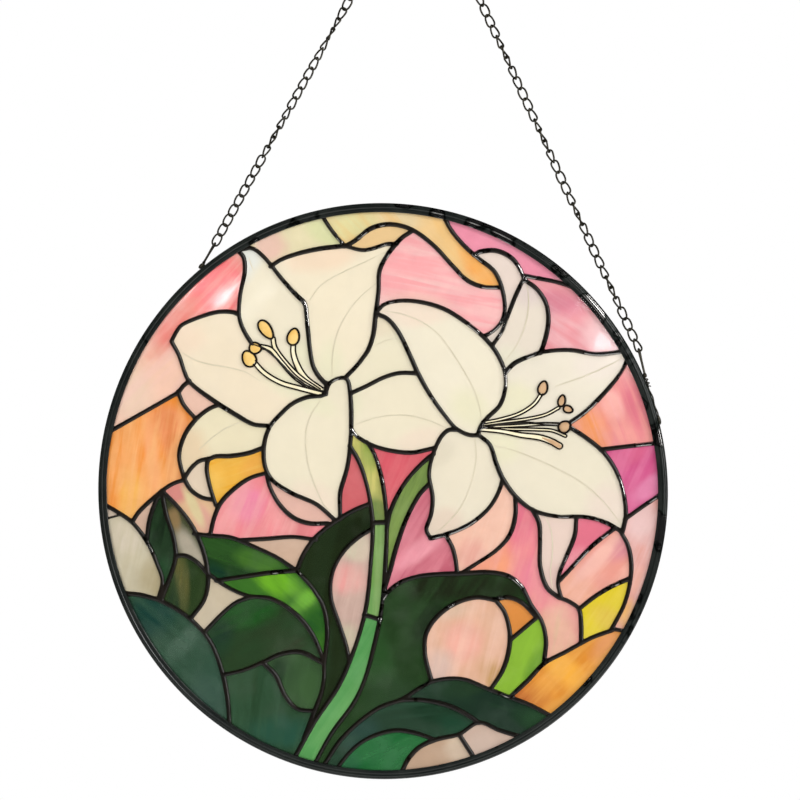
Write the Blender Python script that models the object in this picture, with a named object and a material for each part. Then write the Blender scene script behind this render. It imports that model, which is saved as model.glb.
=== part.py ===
"""Round stained glass suncatcher: two lilies in leaded glass inside a channelled metal ring,
hung from one round ring on two curb chains of unequal length.

Everything is in metres, +Z up.  The origin is where the hanging ring rests on its nail, and the
panel hangs in the plane y = 0 with its front towards -Y.
"""

import math

import bmesh
import bpy
import numpy as np
from mathutils import Matrix, Vector
from mathutils.geometry import delaunay_2d_cdt

MM = 0.001

# ---------------------------------------------------------------- driving sizes
PANEL_RADIUS = 150 * MM          # outside of the metal frame
PANEL_DROP = 330 * MM            # hanging point to the panel's centre

FRAME_FACE = 4.8 * MM            # width of the frame seen from the front
FRAME_HALF_DEPTH = 3.2 * MM
FRAME_EDGE = 0.8 * MM            # chamfer along the outer edges
CHANNEL_HALF_GAP = 2.3 * MM      # the groove that takes the panel's edge
CHANNEL_FLOOR = 148.6 * MM       # radius of the groove's bottom

GLASS_HALF_THICKNESS = 1.5 * MM
CAME_HALF_THICKNESS = 2.0 * MM
CAME_OUTER_RADIUS = 148.1 * MM
CAME_INNER_RADIUS = 144.9 * MM   # inside of the lead border
LEAD_WIDTH = 2.5 * MM
THIN_LEAD_WIDTH = 1.5 * MM
GAP = 0.3 * MM                   # clearance between neighbouring pieces

RING_RADIUS = 7.6 * MM           # hanging ring, to the middle of its wire
RING_WIRE_RADIUS = 0.8 * MM
RING_MIDDLE = Vector((0, 0, RING_WIRE_RADIUS - RING_RADIUS))

LINK_PITCH = 5.95 * MM
LINK_WIRE = 1.0 * MM             # diameter
LINK_HALF_WIDTH = 2.0 * MM       # to the middle of the wire
LINK_BITE = 0.1                  # share of the wire by which two links press together
LINK_REACH = (LINK_PITCH + (1 - LINK_BITE) * LINK_WIRE) / 2    # half length, to the wire's middle
LINK_TWIST = math.radians(40)    # each end of a link is turned this much out of its plane
# Corners of a link's wire, as shares of its reach and of its half width.
LINK_CORNERS = ((1, 0.8), (-1, 0.8), (-1, -0.8), (1, -0.8))

EYE_WIRE_RADIUS = 0.5 * MM
EYE_HALF_WIDTH = 1.6 * MM
EYE_FOOT_SHARE = 0.6             # the legs' spread at the foot, against that at the bend
SOLDER_RADIUS = 2.0 * MM         # drop that holds each wire on the frame
SOLDER_HEIGHT = 1.2 * MM

# How finely round shapes are divided.
FRAME_STEPS = 48
RING_STEPS, RING_SIDES = 20, 6
LINK_SIDES = 4
EYE_BEND_STEPS, EYE_SIDES = 5, 6
SOLDER_STEPS, SOLDER_ROWS = 8, 6
CURVE_STEP = 1.5                 # millimetres between samples along a lead line
SIMPLIFY = 0.65                  # millimetres an outline may leave the curve it follows
DOT_STEPS = 12                   # sides of the round end of a lead line
BORDER_STEPS = 72
SMALLEST_CELL = 1.5              # square millimetres; less is a crevice that solder fills

# Where each eye's bend stands, (across, up) in millimetres from the panel's centre, where its foot is
# soldered to the rim, in degrees clockwise from the panel's top, and the way its two legs spread.
EYES = {
    "left": ((-95.8, 123.4), -42.6, Vector((0.1, 1, 0))),
    "right": ((129.6, 83.2), 62.4, Vector((0.2, 1, 0))),
}

# How far each chain has turned about its own length, in degrees, at a count of links from the
# panel: a curb chain hangs with a slow, uneven twist.
TURNS = {
    "left": (
        (0, -15), (8, 20), (11, 90), (14, 135), (18, 140), (20, 100), (24, 10), (34, -50), (40, -50),
    ),
    "right": ((0, -40), (2, -5), (9.2, 180), (16, 360), (24, 540), (32, 720), (43, 1030), (50, 1030)),
}

# ---------------------------------------------------------------- the picture
# Lead lines of the picture: each is a smooth curve through a few (across, up) points,
# in millimetres from the panel's centre.  A line ends under a neighbour or under the frame.
LEADS = {
    # left lily
    "petal_high_right": ((-81, 121), (-76, 122), (-70, 118.5), (-58, 106), (-50, 98.5), (-46, 95),
                         (-44.5, 88), (-42, 73), (-39.5, 63), (-36, 57.5), (-31.5, 53.5)),
    "petal_high_left": ((-84, 121), (-80, 117), (-78.8, 110), (-80.5, 97), (-80.3, 86), (-77.5, 79),
                        (-72.5, 72)),
    "petal_left_top": ((-80.5, 87), (-84, 88), (-92, 87.5), (-104, 83), (-111, 79), (-114, 74),
                       (-115.5, 70.5)),
    "petal_left_under": ((-115.5, 70.5), (-111, 63.5), (-107.5, 55), (-104.5, 50), (-90, 40.5),
                         (-78, 34.2), (-69, 30.2), (-60.5, 30)),
    "petal_low_left": ((-31.5, 49), (-34, 47.6), (-41, 46.5), (-49, 42.5), (-55, 36.5), (-60.5, 29),
                       (-62.7, 19), (-61.5, 9), (-57.5, 2.2), (-47, -4), (-33, -9), (-22, -17)),
    "petal_low_right": ((-31.5, 50), (-30, 54.5), (-24.5, 57.7), (-21, 57), (-18.6, 48),
                        (-17.2, 33), (-17.2, 20), (-17.9, 11), (-20.7, -2), (-20.3, -10), (-19.8, -16)),
    "hub_left": ((-31.8, 54.5), (-31.6, 48.5)),
    "petal_top_outer": ((-65.5, 113), (-60, 117), (-52, 120.5), (-40, 124), (-27, 126.3)),
    "petal_top_crest": ((-27, 126.3), (-17, 124.7), (-10, 126.6), (-5, 128.6), (0.5, 129)),
    "petal_top_right": ((8.5, 136.5), (3, 132.5), (-1.5, 127), (-5.5, 120.5), (-7.8, 114), (-7.5, 104),
                        (-8.2, 92), (-8.8, 81), (-11, 73), (-16, 65), (-21.5, 58.5)),
    "petal_right_split": ((-18.5, 50), (-11, 54), (-2, 59.3), (6, 62.2), (16, 62.8)),
    "petal_right_under": ((-17.3, 32), (-14, 28), (-5, 23.6), (6, 21.5), (16, 21.5), (28, 25)),
    "petal_behind_top": ((-88, 39), (-92.5, 37), (-99, 31.5), (-105, 22.5), (-107.5, 11), (-104, -1)),
    "petal_behind_under": ((-62.7, 18.5), (-70, 15.2), (-80, 12.8), (-88, 12), (-92, 10)),
    "curl_top": ((-104, -1), (-101, 4.5), (-96.5, 9), (-91.5, 10.5)),
    "curl_right": ((-92, 10.5), (-92.3, 5), (-90, -4), (-86.2, -13.5)),
    "curl_under": ((-104, -1), (-100, -6.5), (-94, -10), (-87.5, -10.8)),
    "seam_left": ((-72.5, 72), (-66, 70.3), (-59, 65.5), (-50, 57.3), (-40, 51.5), (-31.5, 49.5)),
    # right lily
    "wide_petal_top": ((-8, 93), (-4, 97.3), (3, 99.6), (14, 99.9), (27, 97.2), (39, 91), (49.5, 83.5),
                       (56.5, 76), (61.3, 66.5), (62, 57), (59.8, 49), (53.5, 42), (50.5, 37.5),
                       (49.5, 33)),
    "wide_petal_left": ((-8, 92.3), (-2, 90), (4, 84), (10, 74), (16, 62.8), (23.5, 51.5), (31, 42.5),
                        (38, 35.5), (45, 32.7), (50, 33)),
    "curl_petal_top": ((41, 126), (45, 128), (53, 128.8), (61, 125.5), (66, 119.5), (68, 115)),
    "narrow_petal_left": ((68, 115.5), (64.5, 107), (61.3, 97), (58.5, 87.5), (54, 80)),
    "narrow_petal_right": ((68, 115), (75, 110.5), (80.5, 103), (82.2, 93), (80.5, 82), (79, 77.5)),
    "long_petal_top": ((61.5, 66), (65.5, 71), (73, 75.3), (82, 78.6), (95, 80.2), (108, 79), (123, 81.5)),
    "long_petal_under": ((124.8, 79), (121.5, 70.5), (113, 58.5), (104, 48.5), (96, 42)),
    "broad_petal_top": ((96, 41), (105, 36), (115, 29), (122.5, 19.5), (127, 8.5), (129, -3),
                        (127.8, -11.5)),
    "broad_petal_under": ((50, 33), (56, 28.5), (60, 19), (64, 11.3), (72, 2), (81, -3.8), (93, -6),
                          (108, -5.2), (118, -7), (127.8, -11.5)),
    "front_petal_left": ((38, 35), (34, 34.5), (30.5, 31), (26.6, 21), (25.3, 11), (28, -1), (27.8, -10),
                         (25.8, -18), (28.3, -22.3)),
    "front_petal_right": ((28.3, -22.3), (38, -19), (49, -13), (58, -4), (62.5, 5), (64, 11.5)),
    "low_petal_left": ((80.5, -3.5), (84.3, -10), (85.5, -20), (86.5, -33), (91, -43.5), (97.5, -48)),
    "low_petal_right": ((103.5, -5.8), (103.3, -15), (100, -25.5), (97, -34), (96.3, -41), (98.5, -48)),
    "seam_right": ((50, 36), (60, 39.3), (72, 41), (84, 41.3), (96, 41.5)),
    # stems
    "stem_left_edge": ((-17.3, 22.5), (-12, 15), (-7.5, 4.5), (-4, -8), (-2.3, -20), (-2.2, -40),
                       (-2.8, -58), (-5.5, -74), (-10, -90), (-15.5, -104), (-26, -122), (-36.5, -144)),
    "stem_right_edge": ((-8.5, 25.3), (-4.5, 20), (0, 9), (3.5, -6), (5, -18), (5.6, -44), (4.8, -64),
                        (2, -83), (-1.5, -99), (-6.5, -111.5), (-17, -128), (-25.5, -146)),
    "stem_joint_high": ((-2.5, -16.5), (5, -15.6)),
    "stem_joint_low": ((-4, -64.6), (5, -66.6)),
    "second_stem_left": ((27, 21.5), (23.5, 18.5), (16, 10), (10, 0), (6, -11), (5, -20)),
    "second_stem_right": ((25.8, 6), (21, 0), (15, -13), (10.5, -29), (8.2, -41), (5.5, -53)),
    # upper background
    "sky_split": ((-40.5, 142), (-33.5, 133), (-27, 126.5)),
    "ribbon_under": ((-27, 126), (-22, 129), (-14, 136), (-6, 138.8), (2, 138.6), (10, 136), (21, 128.5),
                     (31, 119), (39, 112.3), (47, 109.8), (56, 110)),
    "ribbon_top": ((23.5, 146), (28, 138.5), (35, 131), (44, 124), (52, 118.5), (56, 112), (59, 101),
                   (58.3, 93.5), (54.5, 88), (49, 84)),
    "rose_split_high": ((67.5, 117), (76, 116), (86, 114.6), (97, 111.5)),
    "rose_split_right": ((113.5, 30), (122, 31.6), (132, 33.6), (143, 35.6)),
    "magenta_under": ((128.5, -5), (136, 1.3), (147, 10)),
    # left background
    "left_split_short": ((-104.5, 50.5), (-107.5, 47.8), (-110, 44)),
    "left_split_long": ((-110, 44), (-125, 34.2), (-147, 20)),
    "left_wedge": ((-110.3, 44.5), (-107, 38), (-100, 31)),
    "orange_under": ((-104, -1.5), (-110, -4), (-115, -7.8), (-122, -14.5), (-127, -20), (-130.3, -25.5)),
    "beige_top": ((-147, -17), (-139.5, -20.5), (-130.3, -25.8), (-122, -35), (-115.5, -46.5),
                  (-112, -55.5), (-113.5, -64.5)),
    "beige_stub": ((-147, -25.5), (-141.5, -24), (-136.5, -22.2)),
    "beige_under": ((-135, -63.5), (-124, -63.5), (-113.5, -65.3)),
    "rose_left_edge": ((-60, 5.5), (-69, 2), (-77, -4.2), (-83.5, -11.8), (-86.5, -19.5), (-88.3, -30)),
    "rose_sliver": ((-60.5, 6), (-58.5, -1), (-52.5, -10.5), (-44.5, -17), (-36, -19.3), (-26, -18.5)),
    "rose_under": ((-72, -30.8), (-58, -29), (-44, -27), (-31.5, -27.6)),
    # bud and leaves, left
    "bud_left": ((-115.5, -8), (-119, -15.5), (-121.3, -25), (-121.8, -35)),
    "bud_right": ((-115.5, -8), (-107.5, -14.8), (-99, -24), (-92.5, -35), (-88.8, -46), (-87.6, -55),
                  (-89.3, -64), (-95.5, -73.5)),
    "bud_middle": ((-115.5, -8), (-112.5, -20), (-108, -31), (-105.8, -42), (-108.5, -54), (-112, -65)),
    "bud_cup": ((-106, -42), (-101.5, -41), (-95, -43.5), (-88, -50)),
    "leaf_top": ((-97, -29.3), (-88, -29.6), (-77, -29.8), (-65, -33.5), (-52, -38.3), (-41, -44.5)),
    "leaf_under": ((-88, -49.5), (-78, -55.5), (-66, -59.6), (-54, -60), (-43, -65), (-34, -72.5),
                   (-27.5, -82), (-23.3, -93), (-23.3, -105), (-27, -118), (-31.5, -132)),
    "leaf_vein": ((-83.5, -53), (-70, -50), (-56, -46.8), (-41, -44.5)),
    "leaf_right": ((-41, -44.5), (-32, -53), (-25.5, -62.5), (-22.7, -75), (-23.3, -93)),
    "arch_top": ((-41, -44.5), (-38, -35.5), (-32, -26), (-22, -17), (-13, -10.8), (-4.5, -6.5)),
    "arch_inner": ((-2.5, -19.5), (-10, -25), (-17.5, -33.5), (-22, -44), (-22, -57), (-16.5, -71),
                   (-12, -82), (-10, -90)),
    "mound_left": ((-64, -60), (-72, -63.5), (-80, -71), (-87.5, -80)),
    "shore_left": ((-113.5, -65.3), (-103, -69.8), (-93, -76.3), (-84.5, -85), (-78, -98), (-73.5, -113),
                   (-70.5, -134)),
    "mound_crease": ((-76.5, -102), (-66, -98.8), (-56, -93.8), (-46, -88.5), (-36, -86.8), (-24, -91.5)),
    "shell_crease": ((-56, -93.8), (-48.5, -100), (-43, -110), (-36, -116.5), (-27.5, -117)),
    # leaves and background, right
    "crest_top": ((5.2, -56), (8.6, -51), (14, -46.3), (24, -42.3), (36, -40.3), (48, -39), (60, -37.5),
                  (70, -38.6), (77, -43), (83, -52.5), (89, -60.5), (92, -70), (91.8, -82.5)),
    "peach_left": ((64.5, -51.8), (55, -51), (44.5, -54.5), (35.5, -61.5), (29.6, -71), (29.3, -82),
                   (33.8, -96.5)),
    "peach_right": ((64.5, -51.8), (69.5, -57.5), (73, -68), (73, -78), (70.5, -88), (65, -98)),
    "crest_under": ((63, -51.5), (71, -49.8), (78, -51.8), (86.5, -59)),
    "amber_leaf_split": ((86.5, -59), (80, -65.3), (73.2, -72)),
    "blush_left": ((71, 3), (71.8, -7), (69.5, -17.5), (63, -26), (54, -33), (45.5, -39.3)),
    "rose_stem_right": ((36, -19.8), (40, -26), (42.3, -33), (43.5, -39.5)),
    "triangle_edge": ((123.5, -10), (113, -19.5), (103.5, -31), (97, -39)),
    "fan_right": ((126.5, -11), (131, -18), (133.4, -27), (133.4, -38), (131, -49.5), (125.5, -62)),
    "fan_under": ((133.5, -35), (124, -40), (115, -46.5), (108.5, -52.5)),
    "fan_left": ((98, -48), (103, -49.6), (108, -53), (109.7, -61), (110.3, -70.5)),
    "east_stub": ((125.5, -61.8), (136, -62.8)),
    "amber_top": ((126, -62.5), (116, -67), (102, -76), (92, -82.3), (84, -92), (76, -100.5)),
    "wave_top": ((27, -101), (34, -96.6), (43, -94.2), (52, -94.2), (62, -97.5), (74, -101), (86, -104.5),
                 (101, -111)),
    "wave_tail": ((27, -101), (19, -107), (8, -112), (-1, -119), (-12, -131), (-21.5, -148)),
    "wave_crease": ((8, -112), (18, -107.8), (30, -106.6), (44, -108.5), (54, -112.5), (60, -116)),
    "wave_under": ((86, -122), (71, -119), (60, -115.8), (50, -122.8), (39, -126.2), (30, -131),
                   (24.5, -137.5), (20.5, -147)),
    "floor_leaf": ((37, -126.5), (27, -124), (17, -123.5), (6, -127), (-3, -133), (-11, -143),
                   (-14.5, -150)),
    "shore_right": ((50, -122.8), (60.5, -136.5)),
}

# The panes of glass: a point inside the opening that each one fills, and its glass.
PANES = {
    "lily_a_high": ((-62, 95), "opal_white"),
    "lily_a_top": ((-30, 90), "opal_white"),
    "lily_a_left": ((-90, 65), "opal_white"),
    "lily_a_low": ((-40, 20), "opal_white"),
    "lily_a_behind": ((-85, 25), "opal_white"),
    "lily_a_right_upper": ((-5, 70), "opal_white"),
    "lily_a_right_lower": ((5, 40), "opal_white"),
    "lily_b_wide": ((25, 75), "opal_white"),
    "lily_b_narrow": ((70, 92), "opal_white"),
    "lily_b_long": ((90, 65), "opal_white"),
    "lily_b_broad": ((95, 15), "opal_white"),
    "lily_b_front": ((45, 10), "opal_white"),
    "lily_b_low": ((93, -20), "opal_white"),
    "stem_high": ((-3, 5), "spring_green"),
    "stem_middle": ((2, -40), "spring_green"),
    "stem_low": ((-15, -112), "emerald"),
    "second_stem": ((14, 0), "spring_green"),
    "sky_green": ((-45, 130), "pale_gold"),
    "ribbon_gold": ((10, 140), "pale_gold"),
    "rose_heart": ((20, 110), "rose"),
    "rose_right": ((100, 95), "rose"),
    "sunset_right": ((125, 55), "orange"),
    "magenta_right": ((135, 20), "magenta"),
    "blush_right": ((140, -20), "blush"),
    "fan_rose": ((120, -30), "blush"),
    "lemon": ((120, -50), "lemon"),
    "blush_long": ((78, -20), "rose"),
    "peach_upper": ((62, -10), "peach"),
    "rose_lower": ((20, -30), "rose"),
    "crimson_middle": ((8, 12), "crimson"),
    "rose_left": ((-125, 60), "rose"),
    "orange_left": ((-130, 0), "orange"),
    "blush_left": ((-100, -18), "blush"),
    "amber_left": ((-80, 5), "amber"),
    "rose_large": ((-65, -15), "rose"),
    "beige_stem": ((-12, -50), "beige"),
    "beige_left": ((-125, -45), "beige"),
    "peach_round": ((50, -75), "peach"),
    "orange_right": ((105, -90), "orange"),
    "bud_left": ((-115, -40), "dark_green"),
    "bud_body": ((-98, -60), "dark_green"),
    "leaf_upper": ((-75, -42), "leaf_green"),
    "leaf_bright": ((-45, -55), "leaf_green"),
    "leaf_arch": ((-28, -40), "dark_green"),
    "leaf_mound": ((-55, -80), "dark_green"),
    "leaf_shell": ((-35, -105), "dark_green"),
    "leaf_shore": ((-95, -95), "teal"),
    "leaf_hollow": ((-55, -115), "teal"),
    "leaf_crest": ((20, -75), "dark_green"),
    "leaf_lime": ((82, -80), "lime"),
    "leaf_wave_upper": ((65, -108), "dark_green"),
    "leaf_wave_lower": ((35, -115), "dark_green"),
    "leaf_floor": ((5, -138), "teal"),
}

# Lead lines drawn thin: those beneath the stamens, and one beside a chip of glass.
THIN_LEADS = ("seam_left", "seam_right", "beige_stub")

# (red, green, blue), roughness, metallic
FINISHES = {
    "opal_white": ((0.87, 0.83, 0.72), 0.15, 0.0),
    "spring_green": ((0.30, 0.45, 0.15), 0.15, 0.0),
    "emerald": ((0.12, 0.43, 0.14), 0.15, 0.0),
    "leaf_green": ((0.13, 0.40, 0.04), 0.15, 0.0),
    "lime": ((0.30, 0.58, 0.04), 0.15, 0.0),
    "dark_green": ((0.02, 0.06, 0.03), 0.15, 0.0),
    "teal": ((0.02, 0.08, 0.06), 0.15, 0.0),
    "pale_gold": ((0.80, 0.74, 0.36), 0.15, 0.0),
    "lemon": ((0.76, 0.58, 0.05), 0.15, 0.0),
    "amber": ((0.85, 0.50, 0.10), 0.15, 0.0),
    "orange": ((0.86, 0.36, 0.08), 0.15, 0.0),
    "peach": ((0.86, 0.52, 0.36), 0.15, 0.0),
    "blush": ((0.80, 0.45, 0.40), 0.15, 0.0),
    "rose": ((0.86, 0.28, 0.34), 0.15, 0.0),
    "crimson": ((0.66, 0.12, 0.16), 0.15, 0.0),
    "magenta": ((0.66, 0.11, 0.30), 0.15, 0.0),
    "beige": ((0.72, 0.60, 0.46), 0.15, 0.0),
    "black_lead": ((0.012, 0.011, 0.010), 0.25, 0.6),
    "dark_frame": ((0.022, 0.026, 0.026), 0.35, 0.7),
    "aged_steel": ((0.045, 0.043, 0.035), 0.40, 0.9),
}


def material(name):
    """The finish of that name, made once."""
    found = bpy.data.materials.get(name)
    if found:
        return found
    color, roughness, metallic = FINISHES[name]
    made = bpy.data.materials.new(name)
    made.use_nodes = True
    shader = made.node_tree.nodes["Principled BSDF"]
    shader.inputs["Base Color"].default_value = (*color, 1.0)
    shader.inputs["Roughness"].default_value = roughness
    shader.inputs["Metallic"].default_value = metallic
    made.diffuse_color = (*color, 1.0)
    return made


def new_object(name, vertices, faces, finish, smooth_angle=None):
    """A closed mesh object with its faces turned outwards."""
    mesh = bpy.data.meshes.new(name)
    mesh.from_pydata([tuple(v) for v in vertices], [], faces)
    shape = bmesh.new()
    shape.from_mesh(mesh)
    bmesh.ops.triangulate(shape, faces=shape.faces)
    bmesh.ops.recalc_face_normals(shape, faces=shape.faces)
    shape.to_mesh(mesh)
    shape.free()
    if smooth_angle is not None:
        mesh.shade_smooth()
        mesh.set_sharp_from_angle(angle=smooth_angle)
    mesh.materials.append(material(finish))
    made = bpy.data.objects.new(name, mesh)
    bpy.context.scene.collection.objects.link(made)
    return made


# ---------------------------------------------------------------- curves in the panel's plane
def catmull_rom(a, b, c, d, shares):
    """Points between b and c on the centripetal curve through a, b, c and d."""
    first = np.linalg.norm(b - a) ** 0.5
    second = first + np.linalg.norm(c - b) ** 0.5
    third = second + np.linalg.norm(d - c) ** 0.5
    t = first + (second - first) * shares[:, None]
    ab = (a * (first - t) + b * t) / first
    bc = (b * (second - t) + c * (t - first)) / (second - first)
    cd = (c * (third - t) + d * (t - second)) / (third - second)
    abc = (ab * (second - t) + bc * t) / second
    bcd = (bc * (third - t) + cd * (t - first)) / (third - first)
    return (abc * (second - t) + bcd * (t - first)) / (second - first)


def smooth_curve(points):
    """Even samples of the smooth curve through the points."""
    points = [np.array(p, float) for p in points]
    guide = [2 * points[0] - points[1], *points, 2 * points[-1] - points[-2]]
    samples = []
    for a, b, c, d in zip(guide, guide[1:], guide[2:], guide[3:]):
        count = max(1, math.ceil(np.linalg.norm(c - b) / CURVE_STEP))
        samples.extend(catmull_rom(a, b, c, d, np.arange(count) / count))
    return np.array([*samples, points[-1]])


def circle(radius, steps, center=(0.0, 0.0)):
    angles = np.arange(steps) * 2 * math.pi / steps
    return np.stack([np.cos(angles), np.sin(angles)], axis=1) * radius + center


def ribbon(line, width):
    """Outline of a strip of that width along the line."""
    along = np.gradient(line, axis=0)
    along /= np.linalg.norm(along, axis=1)[:, None]
    side = np.stack([-along[:, 1], along[:, 0]], axis=1) * width / 2
    return np.concatenate([line - side, (line + side)[::-1]])


def lead_shapes():
    """Outlines, in millimetres, that together cover every lead line."""
    shapes = []
    for name, points in LEADS.items():
        width = (THIN_LEAD_WIDTH if name in THIN_LEADS else LEAD_WIDTH) / MM
        line = smooth_curve(points)
        shapes.append(ribbon(line, width))
        shapes += [circle(width / 2, DOT_STEPS, end) for end in (line[0], line[-1])]
    return shapes


def triangulate(outlines):
    """Points, triangles, and for each triangle the set of outlines that cover it."""
    starts = np.cumsum([0] + [len(outline) for outline in outlines])
    loops = [list(range(a, b)) for a, b in zip(starts, starts[1:])]
    points = [Vector(p) for p in np.concatenate(outlines)]
    points, _, faces, _, _, owners = delaunay_2d_cdt(points, [], loops, 0, 1e-5)
    return np.array(points), faces, [set(owner) for owner in owners]


def outer_loop(triangles):
    """The longest closed loop of corner numbers round a group of triangles."""
    edges = {(tri[k - 1], tri[k]) for tri in triangles for k in range(3)}
    after = {a: b for a, b in edges if (b, a) not in edges}
    loops = []
    while after:
        loop = [next(iter(sorted(after)))]
        while loop[-1] in after:
            loop.append(after.pop(loop[-1]))
        loops.append(loop[:-1])
    return max(loops, key=len)


def area(outline):
    x, y = outline.T
    return (x * np.roll(y, -1) - y * np.roll(x, -1)).sum() / 2


def simplify_open(line):
    """Douglas and Peucker's line with fewer points, never further away than SIMPLIFY."""
    if len(line) < 3:
        return line
    chord = line[-1] - line[0]
    offset = line - line[0]
    length = np.linalg.norm(chord)
    distance = abs(offset[:, 0] * chord[1] - offset[:, 1] * chord[0]) / length
    far = int(distance.argmax())
    if distance[far] < SIMPLIFY:
        return line[[0, -1]]
    return np.concatenate([simplify_open(line[: far + 1])[:-1], simplify_open(line[far:])])


def simplify(outline):
    """A closed outline with fewer points, split first at its sharpest corner."""
    before = outline - np.roll(outline, 1, axis=0)
    after = np.roll(outline, -1, axis=0) - outline
    turn = (before * after).sum(axis=1) / (np.linalg.norm(before, axis=1) * np.linalg.norm(after, axis=1))
    outline = np.roll(outline, -int(turn.argmin()), axis=0)
    closed = np.concatenate([outline, outline[:1]])
    far = int(np.linalg.norm(closed - closed[0], axis=1).argmax())
    return np.concatenate([simplify_open(closed[: far + 1])[:-1], simplify_open(closed[far:])[:-1]])


def cells():
    """Outlines, in millimetres and anticlockwise, of the openings between the lead lines."""
    border = circle(CAME_INNER_RADIUS / MM, BORDER_STEPS)
    points, faces, owners = triangulate([border, *lead_shapes()])
    free = [tuple(face) for face, owner in zip(faces, owners) if owner == {0}]
    group = list(range(len(free)))

    def root(k):
        while group[k] != k:
            group[k] = group[group[k]]
            k = group[k]
        return k

    owner_of = {(tri[k - 1], tri[k]): number for number, tri in enumerate(free) for k in range(3)}
    for (a, b), number in owner_of.items():
        if (b, a) in owner_of:
            group[root(number)] = root(owner_of[b, a])
    gathered = {}
    for number, tri in enumerate(free):
        gathered.setdefault(root(number), []).append(tri)
    outlines = [points[outer_loop(tris)] for tris in gathered.values()]
    outlines = [o if area(o) > 0 else o[::-1] for o in outlines]
    return [simplify(o) for o in outlines if area(o) > SMALLEST_CELL]


def inside(outline, point):
    """Whether the point lies in the closed outline."""
    (x, y), (u, v) = point, np.array([outline, np.roll(outline, -1, axis=0)]).transpose(2, 0, 1)
    crosses = (v[0] > y) != (v[1] > y)
    at = u[0] + (y - v[0]) * (u[1] - u[0]) / np.where(crosses, v[1] - v[0], 1.0)
    return bool((crosses & (x < at)).sum() % 2)


def inset(outline, distance):
    """An anticlockwise outline moved inwards by the distance, with mitred corners."""
    along = np.roll(outline, -1, axis=0) - outline
    along /= np.linalg.norm(along, axis=1)[:, None]
    inward = np.stack([-along[:, 1], along[:, 0]], axis=1)
    before = np.roll(inward, 1, axis=0)
    share = 1 + (inward * before).sum(axis=1)
    return outline + (inward + before) / share[:, None] * distance


# ---------------------------------------------------------------- flat pieces
def on_panel(points, y):
    """Panel points in millimetres as world places at depth y."""
    return [Vector((x * MM, y, z * MM - PANEL_DROP)) for x, z in points]


def plate(name, outlines, half_thickness, finish):
    """A flat plate from the first outline, with the others as holes through it."""
    points, faces, owners = triangulate(outlines)
    kept = [tuple(face) for face, owner in zip(faces, owners) if owner == {0}]
    count = len(points)
    edges = {(tri[k - 1], tri[k]) for tri in kept for k in range(3)}
    rim = [(a, b) for a, b in edges if (b, a) not in edges]
    back = [tuple(k + count for k in reversed(face)) for face in kept]
    walls = [(b, a, a + count, b + count) for a, b in sorted(rim)]
    vertices = on_panel(points, -half_thickness) + on_panel(points, half_thickness)
    return new_object(name, vertices, kept + back + walls, finish)


def make_glazing():
    """The panes, and the lead came round them.  The came is closed over the smallest chips of glass."""
    openings = cells()
    glazed = {name: next(o for o in openings if inside(o, place)) for name, (place, _) in PANES.items()}
    border = circle(CAME_OUTER_RADIUS / MM, FRAME_STEPS)
    plate("lead_came", [border, *glazed.values()], CAME_HALF_THICKNESS, "black_lead")
    for name, opening in glazed.items():
        plate(name, [inset(opening, GAP / MM)], GLASS_HALF_THICKNESS, PANES[name][1])


# ---------------------------------------------------------------- turned pieces
def make_frame():
    """The metal ring: a channel section, open inwards, turned about the panel's axis."""
    outer, inner = PANEL_RADIUS, PANEL_RADIUS - FRAME_FACE
    front = [
        (outer, FRAME_HALF_DEPTH - FRAME_EDGE),
        (outer - FRAME_EDGE, FRAME_HALF_DEPTH),
        (inner, FRAME_HALF_DEPTH),
        (inner, CHANNEL_HALF_GAP),
        (CHANNEL_FLOOR, CHANNEL_HALF_GAP),
    ]
    section = front + [(r, -y) for r, y in reversed(front)]
    vertices, faces = [], []
    sides = len(section)
    for step in range(FRAME_STEPS):
        angle = 2 * math.pi * step / FRAME_STEPS
        for r, y in section:
            vertices.append((r * math.cos(angle), y, r * math.sin(angle) - PANEL_DROP))
        after = (step + 1) % FRAME_STEPS
        for k in range(sides):
            n = (k + 1) % sides
            faces.append((step * sides + k, step * sides + n, after * sides + n, after * sides + k))
    new_object("frame_ring", vertices, faces, "dark_frame", math.radians(30))


def tube(path, middle, wire_radius, sides, closed):
    """Vertices and faces of a wire of full area bent round a middle point, with mitred bends."""
    vertices, faces = [], []
    count = len(path)
    corner_radius = wire_radius * math.sqrt(2 * math.pi / (sides * math.sin(2 * math.pi / sides)))
    first, last = (path[-1], path[0]) if closed else (2 * path[0] - path[1], 2 * path[-1] - path[-2])
    for before, place, after in zip([first, *path], path, [*path[1:], last]):
        arriving = (place - before).normalized()
        along = (arriving + (after - place).normalized()).normalized()
        outward = place - middle
        outward = (outward - along * outward.dot(along)).normalized()
        aside = along.cross(outward)
        mitred = outward / along.dot(arriving)
        for side in range(sides):
            angle = 2 * math.pi * side / sides
            vertices.append(place + (mitred * math.cos(angle) + aside * math.sin(angle)) * corner_radius)
    for k in range(count if closed else count - 1):
        a, b = k * sides, (k + 1) % count * sides
        for side in range(sides):
            n = (side + 1) % sides
            faces.append((a + side, a + n, b + n, b + side))
    if not closed:
        faces.append(tuple(range(sides)))
        faces.append(tuple(range((count - 1) * sides, count * sides)))
    return vertices, faces


def make_ring():
    """The round ring that the chains hang from, its inside top at the origin."""
    path = [RING_MIDDLE + Vector((x, 0, z)) for x, z in circle(RING_RADIUS, RING_STEPS)]
    vertices, faces = tube(path, RING_MIDDLE, RING_WIRE_RADIUS, RING_SIDES, True)
    new_object("hanging_ring", vertices, faces, "aged_steel", math.radians(80))


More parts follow.
